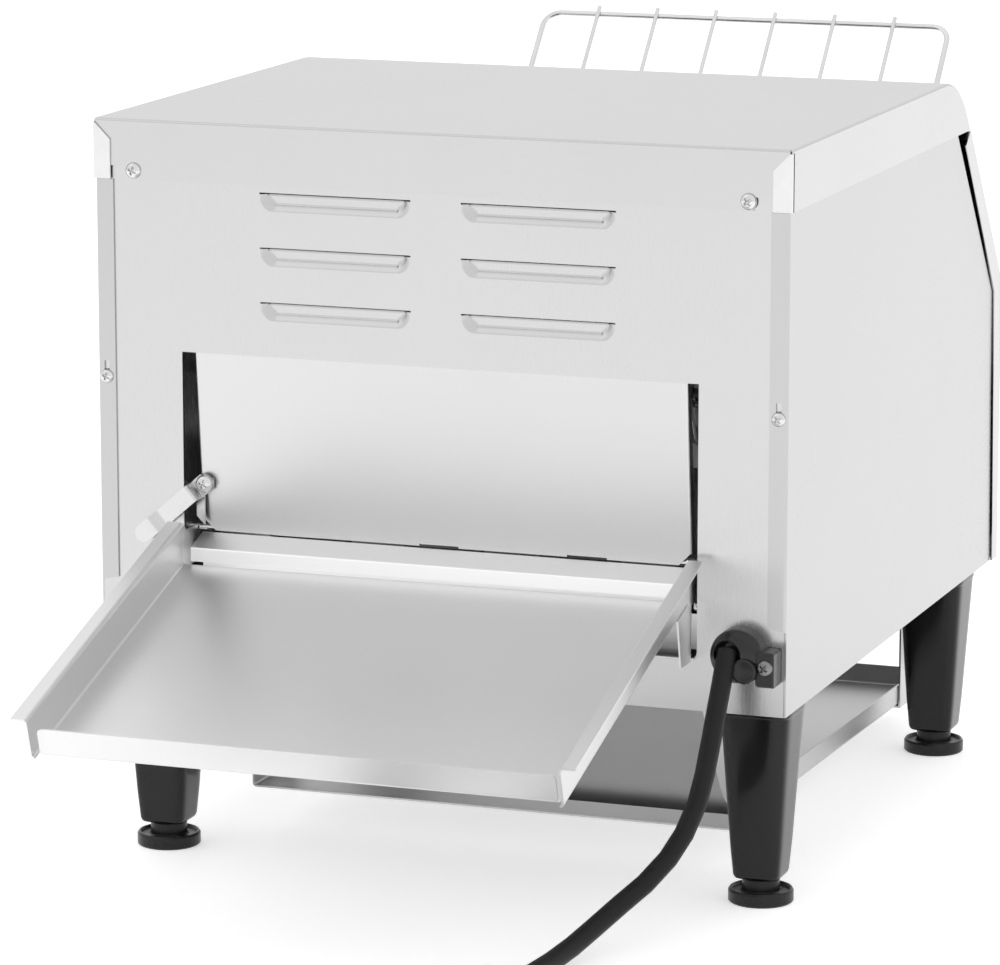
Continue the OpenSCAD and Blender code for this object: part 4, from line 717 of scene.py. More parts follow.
class TOASTER_OT_cover(bpy.types.Operator):
    """Fold the top cover: rear flange, top, rounded nose, slanted end, side skirts and corner tabs"""
    bl_idname = "toaster.cover"
    bl_label = "Top cover"

    def execute(self, context):
        r = context.scene.toaster_case.fold * 1000
        s_top, s_end = (CASE_TOP - BEND_Z) / sin(SLOPE), (FLANGE_Z - BEND_Z) / sin(SLOPE)
        low = np.array([[-REAR_1, FLANGE_Z], [-REAR_1, FLANGE_Z + 2.4], [-REAR_1, FLANGE_Z + SCREW_UP],
                        [-REAR_1, FLANGE_Z + 6.8]])
        line = rounded([[-REAR_1, FLANGE_Z + 6.8], [-REAR_1, CASE_TOP], face_point(s_top, 0),
                        face_point(s_end, 0)], [r, 60], 14)
        top_start = len(low) - 1 + 15          # first point past the rear fold
        line = np.concatenate([low, line[1:]])
        t = unit(np.gradient(line, axis=0))
        inward = np.stack([t[:, 1], -t[:, 0]], 1)
        # towards the case: below the top, in front of the flange, behind the slope
        middle = np.array([-200.0, 300.0])
        inward *= np.sign(np.sum(inward * (middle - line), axis=1))[:, None]
        edge = across_fold(COVER_X, r)
        slot = [COVER_X - SCREW_IN - 2.2, COVER_X - SCREW_IN + 2.2]
        xs = np.array([edge[-1, 0] - 3, slot[1], slot[0], 60, 0])
        half = np.concatenate([edge, np.stack([xs, 0 * xs], 1)])
        v = np.concatenate([half, (half * [-1, 1])[:-1][::-1]])
        p = np.empty((len(line), len(v) + 2, 3))
        p[:, 1:-1, 0] = v[:, 0]
        p[:, 1:-1, 1:] = line[:, None] + inward[:, None] * v[None, :, 1:2]
        # the skirts hang down to the cover's lower edge
        for j, k in ((0, 1), (-1, -2)):
            p[:, j] = p[:, k]
            p[:, j, 2] = np.minimum(FLANGE_Z, p[:, k, 2])
        keep = np.ones((len(line) - 1, len(v) + 1), bool)
        arc = len(edge)
        keep[:top_start, :arc] = False
        keep[:top_start, -arc:] = False
        for j in (arc + 1, len(v) - arc - 1):        # slots for the screws
            keep[:3, j] = False
        n = np.zeros_like(p)
        # share of the way inward and of the way across in each normal
        ca = np.concatenate([[0], np.sin(np.linspace(0, pi / 2, len(edge))), np.ones(len(v) - 2 * len(edge)),
                             np.sin(np.linspace(pi / 2, 0, len(edge))), [0]])
        sx = np.sqrt(np.clip(1 - ca ** 2, 0, 1)) * np.sign(np.concatenate([[1], v[:, 0] + 1e-9, [-1]]))
        n[..., 0] = sx
        n[..., 1:] = -inward[:, None] * ca[None, :, None]
        parts = [folded_sheet(p, SKIN, keep, normals=n)]
        # corner tabs: the skirt turns round the rear corner, and its top is cut at 45 degrees
        a = np.linspace(0, pi / 2, 6)
        tabs = []
        for side in (1, -1):
            bend = np.stack([COVER_X - 1.2 + 1.2 * np.cos(a), -1.2 + 1.2 * np.sin(a)], 1)
            flat = np.array([[COVER_X, -4.0], *bend, [COVER_X - STRIP, 0]])
            rise = np.linspace(0, 1, 5)[None, :]
            top = CASE_TOP - 2 - np.maximum(0, COVER_X - 1 - flat[:, 0])
            z = FLANGE_Z + (top[:, None] - FLANGE_Z) * rise
            g = np.stack([side * flat[:, :1] + 0 * rise, flat[:, 1:] + 0 * rise, z], -1)
            tabs.append(folded_sheet(g, SKIN, flip=side < 0))
        piece("cover_sheet", parts, finish("level"), "housing", ["top_cover"])
        # the tabs carry a painted tone, set apart from the cover's sheet for the light on them
        piece("cover_tabs", tabs, finish("tab"), "housing")
        return {"FINISHED"}


class TOASTER_OT_sides(bpy.types.Operator):
    """Fold the side panels: slanted front edge and a keyholed strip round the rear corner"""
    bl_idname = "toaster.sides"
    bl_label = "Side panels"

    def execute(self, context):
        # upper and lower ends of the slanted front edge
        a1 = face_point((FLANGE_Z - BEND_Z) / sin(SLOPE), 12) + [8, 0]
        b1 = np.array([-CASE_D + 16.5, BEND_Z - 3]) + [1.2, 0]
        top_z = CASE_TOP - SKIN - LAP - 1
        slope = (a1[0] - b1[0]) / (a1[1] - b1[1])
        top_y = a1[0] + (top_z - a1[1]) * slope
        foot_y = -CASE_D + 10.5 + 1
        strip_top = FLANGE_Z - 0.3
        z = np.unique([CASE_BASE, 146, 148, 249.6, 252, 254.4, 260, b1[1], 300, strip_top, FLANGE_Z + 0.5, top_z])
        front = np.interp(z, [CASE_BASE, b1[1], top_z], [foot_y, b1[0], top_y])
        a = np.linspace(0, pi / 2, 6)
        r = 1.3
        mid_x = SIDE_X - STRIP / 2
        bend = np.stack([SIDE_X - r + r * np.cos(a), -REAR_1 - r + r * np.sin(a)], 1)
        strip = np.array([[mid_x + 1.4, -REAR_1], [mid_x - 1.4, -REAR_1], [SIDE_X - STRIP, -REAR_1]])
        prof = np.concatenate([[[SIDE_X, -200.0]], bend, strip])
        for side, name in ((1, "left"), (-1, "right")):
            y = np.concatenate([front[:, None], np.broadcast_to(prof[:, 1], (len(z), len(prof)))], 1)
            x = np.broadcast_to(np.concatenate([[SIDE_X], prof[:, 0]]), y.shape)
            zz = np.broadcast_to(z[:, None], y.shape).copy()
            # the strip's lower end is cut at a slant
            low = np.searchsorted(z, 146)
            zz[low, -4:] = 148 - 2 * (x[low, -4:] - SIDE_X + STRIP) / STRIP
            zz[low + 1, -4:] = np.maximum(zz[low + 1, -4:], 148.2)
            g = np.stack([side * x, y, zz], -1)
            keep = np.ones((len(z) - 1, g.shape[1] - 1), bool)
            keep[:low, 2:] = False
            keep[np.searchsorted(z, strip_top):, 2:] = False
            slot_rows = slice(np.searchsorted(z, 252), np.searchsorted(z, 260))
            keep[slot_rows, -2] = False
            piece("side_sheet_" + name, [folded_sheet(g, SKIN, keep, flip=side > 0)], finish("along"), "housing",
                  ["side_panel_" + name])
        return {"FINISHED"}


class TOASTER_OT_rear_panel(bpy.types.Operator):
    """Press the rear panel: its opening, and louvres pushed in below straight slits"""
    bl_idname = "toaster.rear_panel"
    bl_label = "Rear panel"

    def execute(self, context):
        c = context.scene.toaster_case
        depth, length, high = c.louvre_depth * 1000, c.louvre_length * 1000, c.louvre_height * 1000
        gap, top, pitch, rows = 13.3, 350, 27.7, 3      # louvres: in from the middle, uppermost, apart
        starts = [-gap - length, gap]
        tops = [top - i * pitch for i in range(rows)]
        bay_x, bay_z0, bay_z1, r = WALL_X, 129.2, 266.8, 4.0
        end_run, end_r, shoulder, slit_high = 9, 7.5, 3.8, 0.9
        corner = r * (1 - np.cos(np.linspace(0, pi / 2, 5)))
        gx, gz, gr = *GLAND, 8.0
        ends = np.linspace(0, 1, 15) * end_run
        x = [-INSET_X, INSET_X, gx - gr, gx - gr * 0.7, gx + gr * 0.7, gx + gr]
        for s in starts:
            x += list(s + ends) + list(s + length - ends) + list(np.linspace(s + end_run, s + length - end_run, 8))
        x += list(-bay_x + corner) + list(bay_x - corner)
        z = [CASE_BASE, CASE_TOP - REAR_1 - LAP, gz - gr, gz - gr * 0.7, gz + gr * 0.7, gz + gr, bay_z1]
        z += list(bay_z0 + corner)
        rise = np.concatenate([np.linspace(0, 1, 13) * 4.4, np.linspace(5.0, high - slit_high, 4)])
        for t in tops:
            z += list(t - high + rise) + [t, t - slit_high]
        x, z = np.unique(np.round(x, 4)), np.unique(np.round(z, 4))
        X, Z = np.meshgrid(x, z, indexing="ij")
        push = np.zeros_like(X)
        for s in starts:
            for t in tops:
                # how far inside the pressed outline: straight top, ends rounded like a quarter ellipse
                u = np.minimum(X - s, s + length - X)
                v = Z - (t - high)
                rx, rz = end_r, high
                e = np.sqrt(np.clip((rx - u) / rx, 0, None) ** 2 + np.clip((rz - v) / rz, 0, None) ** 2)
                inside = np.where(u < rx, (1 - e) * rx, 1e3)
                d = np.minimum(inside, v)
                d = np.where((u <= 0) | (v <= 0) | (Z > t - 0.01), 0, d)
                w = np.clip(d / shoulder, 0, 1)
                push = np.maximum(push, depth * w ** 1.3)
        p = np.stack([X, -REAR_2 - push, Z], -1)
        cx, cz = (x[:-1] + x[1:]) / 2, (z[:-1] + z[1:]) / 2
        CX, CZ = np.meshgrid(cx, cz, indexing="ij")
        keep = ~((np.abs(CX) < bay_x) & (CZ > bay_z0) & (CZ < bay_z1))
        # the opening's lower corners are rounded
        in_corner = (np.abs(CX) > bay_x - r) & (CZ < bay_z0 + r) & (CZ > bay_z0) & (np.abs(CX) < bay_x)
        keep |= in_corner & (np.hypot(np.abs(CX) - (bay_x - r), CZ - (bay_z0 + r)) > r)
        keep &= np.hypot(CX - gx, CZ - gz) > gr * 0.98        # hole for the gland
        for s in starts:
            for t in tops:
                keep &= ~((CX > s) & (CX < s + length) & (CZ > t - slit_high) & (CZ < t))
        piece("rear_sheet", [folded_sheet(p, SKIN, keep, flip=True)], finish("upright"), "housing", ["rear_panel"],
              sharp=40)
        return {"FINISHED"}


# --- Trays ---
class TraySettings(bpy.types.PropertyGroup):
    bend: FloatProperty(name="Bend radius", description="Inner radius of the trays' bends", subtype="DISTANCE",
                        unit="LENGTH", default=0.0012, min=0.0004, max=0.004)
    lip: FloatProperty(name="Lip", description="Height of the rear tray's lip", subtype="DISTANCE", unit="LENGTH",
                       default=0.014, min=0.005, max=0.03)


def tray_sheet(half, wall, flange, lip_v, lip_h, lip_half, end_v, bend, start_shear, place):
    """Channel with a lip at its outer end. Across it the section runs up one wall and down the other
    with an arc at each bend; along it the floor's part turns up through an arc into the lip,
    while the walls run straight on. place takes (x, along, up) arrays to points."""
    section = [[half, wall], [half, 0], [-half, 0], [-half, wall]]
    radii = [bend, bend]
    if flange > 0:
        section = [[half + flange, wall]] + section + [[-half - flange, wall]]
        radii = [bend + SKIN] + radii + [bend + SKIN]
    corner = 2.5        # radius of the lip's upper corners
    cut = [[lip_half, 0], [lip_half - corner, 0], [60, 0], [0, 0], [-60, 0], [corner - lip_half, 0], [-lip_half, 0]]
    at = 3 if flange > 0 else 2
    section = section[:at] + cut + section[at:]
    radii = radii[:at - 1] + [0] * len(cut) + radii[at - 1:]
    sec = rounded(section, radii, 5)
    x, w = sec[:, 0], sec[:, 1]
    floor = np.abs(x) < lip_half + 1e-6
    v = np.array([0, 8, 40, 80, 120, 160, lip_v - bend])
    v = v[v <= lip_v - bend]
    a = np.linspace(0, pi / 2, 7)[1:]
    n = len(v)
    up = np.array([0.5, 1.0]) * (lip_h - corner - bend) + bend
    fillet = np.linspace(0, pi / 2, 5)[1:]
    lip_along = np.concatenate([v, lip_v - bend + bend * np.sin(a), np.full(2 + len(fillet), lip_v)])
    lip_up = np.concatenate([0 * v, bend - bend * np.cos(a), up, lip_h - corner + corner * np.sin(fillet)])
    on = np.linspace(0, 1, len(lip_along) - n + 1)[1:]
    wall_along = np.concatenate([v, lip_v - bend + on * (end_v - lip_v + bend)])
    V = np.where(floor[None, :], lip_along[:, None], wall_along[:, None])
    W = np.where(floor[None, :], lip_up[:, None], w[None, :])
    V = V - np.where(np.arange(len(lip_along))[:, None] == 0, W * start_shear, 0)
    X = np.broadcast_to(x[None, :], V.shape).copy()
    # rounded upper ends of the lip
    k = len(fillet)
    end = np.isclose(np.abs(x), lip_half)
    X[-k:, end] = np.sign(x[end])[None, :] * (lip_half - corner + corner * np.cos(fillet))[:, None]
    keep = np.ones((V.shape[0] - 1, V.shape[1] - 1), bool)
    keep[n - 1:, floor[:-1] != floor[1:]] = False        # the lip stands free of the walls
    # section normals, then the lip's own
    ds = unit(np.gradient(sec, axis=0))
    nx, nw = np.broadcast_to(ds[:, 1], V.shape), np.broadcast_to(-ds[:, 0], V.shape)
    nx, nw, nv = nx.copy(), nw.copy(), np.zeros_like(V)
    turn = np.concatenate([0 * v, a, np.full(2 + k, pi / 2)])
    nx[:, floor] = 0
    nw[:, floor] = np.cos(turn)[:, None]
    nv[:, floor] = -np.sin(turn)[:, None]
    p = place(X, V, W)
    normal = place(nx, nv, nw) - place(0 * nx, 0 * nx, 0 * nx)
    return folded_sheet(p, SKIN, keep, normals=normal)


def slab(outline, a, b, place, ease=0.15):
    """Plate from a to b across a flat outline, its edges eased: the outline is moved in by the
    ease along each corner's half-angle on both faces."""
    o = np.asarray(outline, float)
    area = np.sum(o[:, 0] * np.roll(o[:, 1], -1) - np.roll(o[:, 0], -1) * o[:, 1])
    if area < 0:
        o = o[::-1]
    e0 = o - np.roll(o, 1, axis=0)
    e1 = np.roll(o, -1, axis=0) - o
    n0, n1 = (unit(np.stack([-e[:, 1], e[:, 0]], 1)) for e in (e0, e1))
    m = n0 + n1
    m /= np.maximum(np.sum(m * n0, axis=1, keepdims=True), 0.25)
    inner = o + m * ease
    depth = [a, a + ease, b - ease, b] if b > a else [a, a - ease, b + ease, b]
    p = np.stack([np.c_[q, np.full(len(o), d)] for q, d in zip((inner, o, o, inner), depth)])
    pts = place(p[..., 0], p[..., 1], p[..., 2]).reshape(-1, 3)
    n = len(o)
    faces = quads(4, n, close_v=True).tolist()
    faces += [list(range(n)), [3 * n + k for k in range(n)][::-1]]
    return pts, faces


def in_yz(u, v, w):
    """Outline in y and z, depth along x."""
    return np.stack([w + 0 * u, u + 0 * w, v + 0 * w], -1)


def in_xz(u, v, w):
    """Outline in x and z, depth along y."""
    return np.stack([u + 0 * w, w + 0 * u, v + 0 * w], -1)


def in_xy(u, v, w):
    """Outline in x and y, depth along z."""
    return np.stack([u + 0 * w, v + 0 * w, w + 0 * u], -1)


def mirrored(part, axis=0, move=(0, 0, 0)):
    """The part mirrored across the middle of an axis, then moved, its faces turned to point outwards."""
    v, f = part
    sign = np.where(np.arange(3) == axis, -1, 1)
    return np.asarray(v) * sign + np.asarray(move), [list(q)[::-1] for q in face_lists(f)]


TRAY_SLOPE = radians(17.3)
TRAY_Y0, TRAY_Z, TRAY_WALL, TRAY_REACH, TRAY_FLANGE = 6.0, 159.0, 21.5, 196.0, 8.5


def on_tray(x, v, w):
    """Points of the rear tray: v runs down its floor from the hinge end, w stands square to the floor."""
    c, s = cos(TRAY_SLOPE), sin(TRAY_SLOPE)
    return np.stack([x + 0 * v, TRAY_Y0 + v * c + w * s, TRAY_Z - v * s + w * c], -1)


class TOASTER_OT_rear_tray(bpy.types.Operator):
    """Fold the rear tray: sloped floor, flanged walls, front lip and the rails that carry it"""
    bl_idname = "toaster.rear_tray"
    bl_label = "Rear tray"

    def execute(self, context):
        t = context.scene.toaster_tray
        bend, lip = t.bend * 1000, t.lip * 1000
        wall = TRAY_WALL * cos(TRAY_SLOPE)
        end_v = (TRAY_REACH - TRAY_Y0 - wall * sin(TRAY_SLOPE)) / cos(TRAY_SLOPE)
        half = WALL_X - 3
        parts = [tray_sheet(half, wall, TRAY_FLANGE, end_v - 4, lip, half - 3, end_v, bend,
                            tan(TRAY_SLOPE), on_tray)]
        under = [TRAY_Z - 1.0, TRAY_Z - 1 - (22 - TRAY_Y0) * tan(TRAY_SLOPE)]
        lug = [[-16, 157], [-16, 172.3], [-12.5, 172.3], [-12.5, 176], [2, 176], [6, TRAY_Z + TRAY_WALL],
               [6, under[0]], [22, under[1]], [16, 128.2], [0.8, 128.2], [0.5, 157]]
        rail = slab(lug, half, half + SKIN, in_yz)
        parts += [rail, mirrored(rail)]
        piece("rear_tray_sheet", parts, finish("tray"), "rear_tray", ["rear_tray"], sharp=32)
        return {"FINISHED"}


class TOASTER_OT_toast_tray(bpy.types.Operator):
    """Fold the toast tray that slides under the case"""
    bl_idname = "toaster.toast_tray"
    bl_label = "Toast tray"

    def execute(self, context):
        bend = context.scene.toaster_tray.bend * 1000
        tilt = radians(1.1)
        rear_y, rear_z, out = -78, 22.1, 32        # its rear end, and how far it stands out in front
        length = (CASE_D + out + rear_y) / cos(tilt)
        high = 12 - SKIN

        def place(x, v, w):
            y, z = -v, w + SKIN
            return np.stack([x + 0 * v, rear_y + y * cos(tilt) - z * sin(tilt),
                             rear_z + y * sin(tilt) + z * cos(tilt)], -1)
        half = WALL_X - 4.5 - SKIN
        parts = [tray_sheet(half, high, 0, length - SKIN, high, half - bend - 0.3, length, bend, 0, place)]
        piece("toast_tray_sheet", parts, finish("crumbs"), "toast_tray", ["toast_tray"], sharp=32)
        return {"FINISHED"}


# --- Deflector and latch ---
class TOASTER_OT_deflector(bpy.types.Operator):
    """Fold the deflector: plate with side flanges, slots in its lower edge and knuckles round the rod"""
    bl_idname = "toaster.deflector"
    bl_label = "Deflector"

    def execute(self, context):
        half, high, drop, out = WALL_X - 6, 97.6, 0.9, 3.05
        tilt = asin((15.5 - 3.2 - 0.3 - out) / high)
        c, s = cos(tilt), sin(tilt)

        def place(x, y, z):
            return np.stack([x + 0 * z, ROD_AT[0] + y * c + z * s, ROD_AT[1] - y * s + z * c], -1)
        a = np.linspace(0, pi / 2, 6)
        r = 1.4
        slots = [[-86.5, -65.5], [-8, 13]]
        edge = np.stack([half - r + r * np.cos(a), out - r + r * np.sin(a)], 1)
        flat = np.array([[x, out] for x in (120, 60, 13, -8, -30, -65.5, -86.5, -120)])
        sec = np.concatenate([[[half, out - 5]], edge, flat, (edge * [-1, 1])[::-1], [[-half, out - 5]]])
        z = np.array([-drop, 0.3, 2.4, 4.7, 5.1, 30, 60, high])
        X = np.broadcast_to(sec[:, 0], (len(z), len(sec))).copy()
        Y = np.broadcast_to(sec[:, 1], X.shape).copy()
        Z = np.broadcast_to(z[:, None], X.shape).copy()
        # the lower edge stops short of the side flanges, its corners cut at 45 degrees
        limit = np.where(z < 5, half - r - np.maximum(0, 4.7 - z), half)[:, None]
        X = np.clip(X, -limit, limit)
        keep = np.ones((len(z) - 1, len(sec) - 1), bool)
        keep[:4, :6] = False
        keep[:4, -6:] = False
        mid = (sec[:-1, 0] + sec[1:, 0]) / 2
        for lo, hi in slots:
            keep[0, (mid > lo) & (mid < hi)] = False
        t = unit(np.gradient(sec, axis=0))
        zero = 0 * X
        n = place(zero + t[:, 1], zero - t[:, 0], zero) - place(zero, zero, zero)
        n[:4, :, 0] = 0
        parts = [folded_sheet(place(X, Y, Z), SKIN, keep, normals=n)]
        ring = [(2.05, -14), (2.25, -14.0), (2.85, -14.0), (3.03, -13.8), (3.03, 13.8), (2.85, 14), (2.05, 14),
                (2.05, -14)]
        parts += [turned(ring, (x, *ROD_AT), "x", 32) for x in (-108, -36, 36, 108)]
        piece("deflector_sheet", parts, finish("plate"), "deflector", ["deflector"], sharp=40)
        return {"FINISHED"}


def relief(centre, radius, height, shape, rings=22, sides=72, base=0.0):
    """Round boss standing out along +y: a polar grid whose height is shape(u, v), edged by a rounded
    rim and a wall down to its seat."""
    r = radius * np.sqrt(np.linspace(0, 1, rings + 1)[1:])
    a = np.linspace(0, 2 * pi, sides, endpoint=False)
    R, A = np.meshgrid(r, a, indexing="ij")
    u, v = R * np.cos(A), R * np.sin(A)
    top = np.stack([u, shape(u, v), v], -1)
    wall = np.stack([radius * np.cos(a), np.full(sides, base), radius * np.sin(a)], -1)[None]
    seat = np.array([[0, base, 0]])
    peak = np.array([[0, float(shape(np.zeros(1), np.zeros(1))[0]), 0]])
    grid = np.concatenate([top, wall])
    p = np.concatenate([grid.reshape(-1, 3), peak, seat]) + np.asarray(centre, float)
    n = grid.shape[0]
    k = np.arange(sides)
    faces = quads(n, sides, close_v=True).tolist()
    first, last = n * sides, n * sides + 1
    faces += np.stack([k, (k + 1) % sides, np.full(sides, first)], 1).tolist()
    faces += np.stack([(n - 1) * sides + (k + 1) % sides, (n - 1) * sides + k, np.full(sides, last)], 1).tolist()
    return p, faces


def pan_head(radius, height, turn=20):
    """Height of a pan head: flat middle, rounded rim, and a cross sunk by two bars whose edges
    fall over a short smooth step."""
    arm, half, step = 0.56, 0.15, 0.07        # of the cross, as shares of the radius

    def shape(u, v):
        r = np.hypot(u, v) / radius
        dome = height * np.sqrt(np.clip(1 - np.clip(r, 0, 1) ** 3.2, 0, 1)) * (0.9 + 0.1 * (1 - r))
        c, s = cos(radians(turn)), sin(radians(turn))
        p, q = np.abs(u * c + v * s) / radius, np.abs(v * c - u * s) / radius

        def bar(m, n):
            d = np.clip(np.minimum(arm - m, half - n) / step, 0, 1)
            return d * d * (3 - 2 * d)
        return dome - 0.55 * height * np.maximum(bar(p, q), bar(q, p))
    return shape


LATCH_X, LATCH_Z, LATCH_Y = WALL_X - 9.5, 198.5, -6.5


class TOASTER_OT_latch(bpy.types.Operator):
    """Bend the latch lever from strip, and turn its screw"""
    bl_idname = "toaster.latch"
    bl_label = "Latch"

    def execute(self, context):
        h, t, length = 4.7, 1.2, 43.5       # half width, thickness, length from the screw
        raised = 4.4                        # how far the handle stands out of the rear face
        path = rounded([[-h, LATCH_Y], [5.2, LATCH_Y], [5.2, 1.6], [27, 1.6], [31.5, raised], [length, raised]],
                       [0.5, 1.5, 4.0, 4.0], 6)
        # finer steps where the ends are rounded, and the width there that of a circle
        n_end = 9
        ends = h * np.sin(np.linspace(0, pi / 2, n_end))
        first = np.stack([-ends[::-1], np.full(n_end, LATCH_Y)], 1)
        last = np.stack([length - h + ends, np.full(n_end, raised)], 1)
        path = np.concatenate([first, path[1:-1], last])
        width = h * np.ones(len(path))
        width[:n_end] = np.sqrt(np.clip(h * h - path[:n_end, 0] ** 2, 0, None))
        width[-n_end:] = np.sqrt(np.clip(h * h - (path[-n_end:, 0] - length + h) ** 2, 0, None))
        width = np.maximum(width, 0.6)
        k = np.linspace(-1, 1, 5)
        hang = radians(41)                  # of the lever, below the level
        c, s = cos(hang), sin(hang)

        def place(x, y, z):
            return np.stack([LATCH_X + x * c + z * s, y + 0 * z, LATCH_Z - x * s + z * c], -1)
        X = path[:, :1] + 0 * k
        Y = path[:, 1:] + 0 * k
        Z = width[:, None] * k
        d = unit(np.gradient(path, axis=0))
        zero = 0 * X
        n = place(zero - d[:, 1:], zero + d[:, :1], zero) - place(zero, zero, zero)
        piece("latch_lever", [folded_sheet(place(X, Y, Z), t, normals=n)], finish("lever"), "latch", ["latch"],
              sharp=40)
        head_r, head_h = 4.6, 2.6
        head = relief((LATCH_X, LATCH_Y + 0.15, LATCH_Z), head_r, head_h, pan_head(head_r, head_h))
        shank = turned([(0, -1.4), (1.95, -1.4), (1.95, 0.1), (0, 0.1)], (LATCH_X, LATCH_Y, LATCH_Z), "y", 24)
        piece("latch_pin", [head, shank], finish("screw"), "housing", ["latch_screw"], sharp=50)
        return {"FINISHED"}


class TOASTER_OT_screws(bpy.types.Operator):
    """Turn the pan-head screws of the cover and the side panels"""
    bl_idname = "toaster.screws"
    bl_label = "Screws"

    def execute(self, context):
        for name, node, x, z, r in (("cover_screw", "cover_screws", COVER_X - SCREW_IN, FLANGE_Z + SCREW_UP, 4.2),
                                    ("panel_screw", "panel_screws", SIDE_X - STRIP / 2, 252.0, 3.6)):
            parts = []
            for side, turn in ((1, 20), (-1, 52)):
                seat, high = (side * x, -REAR_1, z), r * 0.62
                parts.append(relief(seat, r, high, pan_head(r, high, turn)))
                parts.append(turned([(0, -8), (1.9, -8), (1.9, 0.05), (0, 0.05)], seat, "y", 20))
            piece(name + "s_turned", parts, finish("screw"), "housing", [node], sharp=50)
        return {"FINISHED"}


# --- Chute ---
class TOASTER_OT_chute(bpy.types.Operator):
    """Fold the chute: sill, drop wall and the slope that curves under the case"""
    bl_idname = "toaster.chute"
    bl_label = "Chute"

    def execute(self, context):
        def along(a):
            """Down the slope at angle a under the horizon."""
            return np.array([-cos(a), -sin(a)])

        def inner(a):
            """Square to that slope, upwards."""
            return np.array([-sin(a), cos(a)])
        hi, lo, r, t = radians(57), radians(36), 86.0, SKIN        # upper and lower slope, arc between them
        fold_z, arc_z, end_z = 128.0, 57, 28        # heights of the slope's top, of its arc and of its end
        arc_top = np.array([-11.0, fold_z]) + (fold_z - arc_z) / sin(hi) * along(hi)
        centre = arc_top + r * inner(hi)
        arc_low = centre - r * inner(lo)
        run = (arc_z - r * (cos(lo) - cos(hi)) - end_z) / sin(lo)
        end = arc_low + run * along(lo)
        a = np.linspace(hi, lo, 14)
        arc = centre - (r - t) * np.stack([-np.sin(a), np.cos(a)], 1)
        bend = rounded([[5, 160.5], [5, 167.5], [-12, 173.2], [-12, 128.3], arc_top + t * inner(hi)],
                       [0.9, 1.1, 1.5], 6)
        path = np.concatenate([bend[:-1], arc, [end + t * inner(lo)]])
        d = unit(np.gradient(path, axis=0))
        half = WALL_X - 6.5
        x = np.array([half, 60, 0, -60, -half])
        p = np.stack([x + 0 * path[:, :1], path[:, :1] + 0 * x, path[:, 1:] + 0 * x], -1)
        n = np.zeros_like(p)
        n[..., 1], n[..., 2] = d[:, 1:], -d[:, :1]
        parts = [folded_sheet(p, t, normals=n)]
        outer = WALL_X - 0.1
        ear = [[half - 1, -12], [outer, -12], [outer, -27], [outer - 1, -27], [outer - 1, -11], [half - 1, -11]]
        tab = slab(ear, 132, 150, in_xy)
        parts += [tab, mirrored(tab)]
        piece("chute_sheet", parts, finish("chute"), "housing", ["chute"], sharp=32)
        return {"FINISHED"}


# --- Legs, feet ---
class LegSettings(bpy.types.PropertyGroup):
    squareness: FloatProperty(name="Squareness", description="Power of the legs' section: 2 is round, more is squarer",
                              default=6.5, min=2, max=20)
    top: FloatProperty(name="Top width", description="Width of a leg at its top", subtype="DISTANCE", unit="LENGTH",
                       default=0.037, min=0.02, max=0.06)
    low: FloatProperty(name="Foot width", description="Width of a leg at its lower end", subtype="DISTANCE",
                       unit="LENGTH", default=0.0245, min=0.01, max=0.05)


class TOASTER_OT_legs(bpy.types.Operator):
    """Mould the four tapered legs and turn their adjustable feet"""
    bl_idname = "toaster.legs"
    bl_label = "Legs and feet"

    def execute(self, context):
        s = context.scene.toaster_leg
        top, low, power = s.top * 500, s.low * 500, s.squareness
        z = np.array([13, 13, 13.4, 14.2, 15.6, 30, 50, 70, 90, 97.6, 98, 98.4, 102.6, 103, 103])
        # half width at each height; 0 stands for the straight taper, filled in below
        w = np.array([4.2, low - 1.9, low - 1.0, low - 0.4, low, 0, 0, 0, 0, 0, 0, top - 0.1, top, top - 0.4, 4.2])
        mid = w == 0
        taper_z, taper_high = 15, 83
        w[mid] = low + 0.3 + (top - 0.8 - low) * (z[mid] - taper_z) / taper_high
        w[10] += 0.1        # shallow bead under the top band
        a = np.linspace(0, 2 * pi, 120, endpoint=False) + pi / 120
        r = (np.abs(np.cos(a)) ** power + np.abs(np.sin(a)) ** power) ** (-1 / power)
        # round where it is narrower than 5 mm, at the hole in each end
        r = np.where((w < 5)[:, None], 1.0, r[None, :]) * w[:, None]
        foot = [(0, 0), (15.7, 0), (16.5, 0.8), (16.5, 5.9), (15.7, 7.0), (14.9, 7.0), (14.4, 6.4), (14.1, 5.6),
                (10.6, 5.4), (9.8, 5.9), (9.5, 6.8), (9.5, 12.1), (8.9, 12.9), (4.1, 12.9), (4.0, 13.2), (4.0, 54.2),
                (3.2, 55.0), (0, 55)]
        for end, y in (("front", -(CASE_D - 46)), ("rear", -34.0)):
            for side, x in (("left", COVER_X - 22.5), ("right", 22.5 - COVER_X)):
                p = np.stack([x + r * np.cos(a), y + r * np.sin(a), z[:, None] + 0 * r], -1)
                body = (p.reshape(-1, 3), quads(len(z), len(a), close_v=True))
                piece("leg_" + end + "_" + side + "_moulded", [body], finish("leg"), "housing",
                      ["leg_" + end + "_" + side], sharp=28)
                name = "foot_" + end + "_" + side
                piece(name + "_turned", [turned(foot, (x, y, 0), "z", 64)], finish("foot"), name, [name],
                      sharp=30)
        return {"FINISHED"}


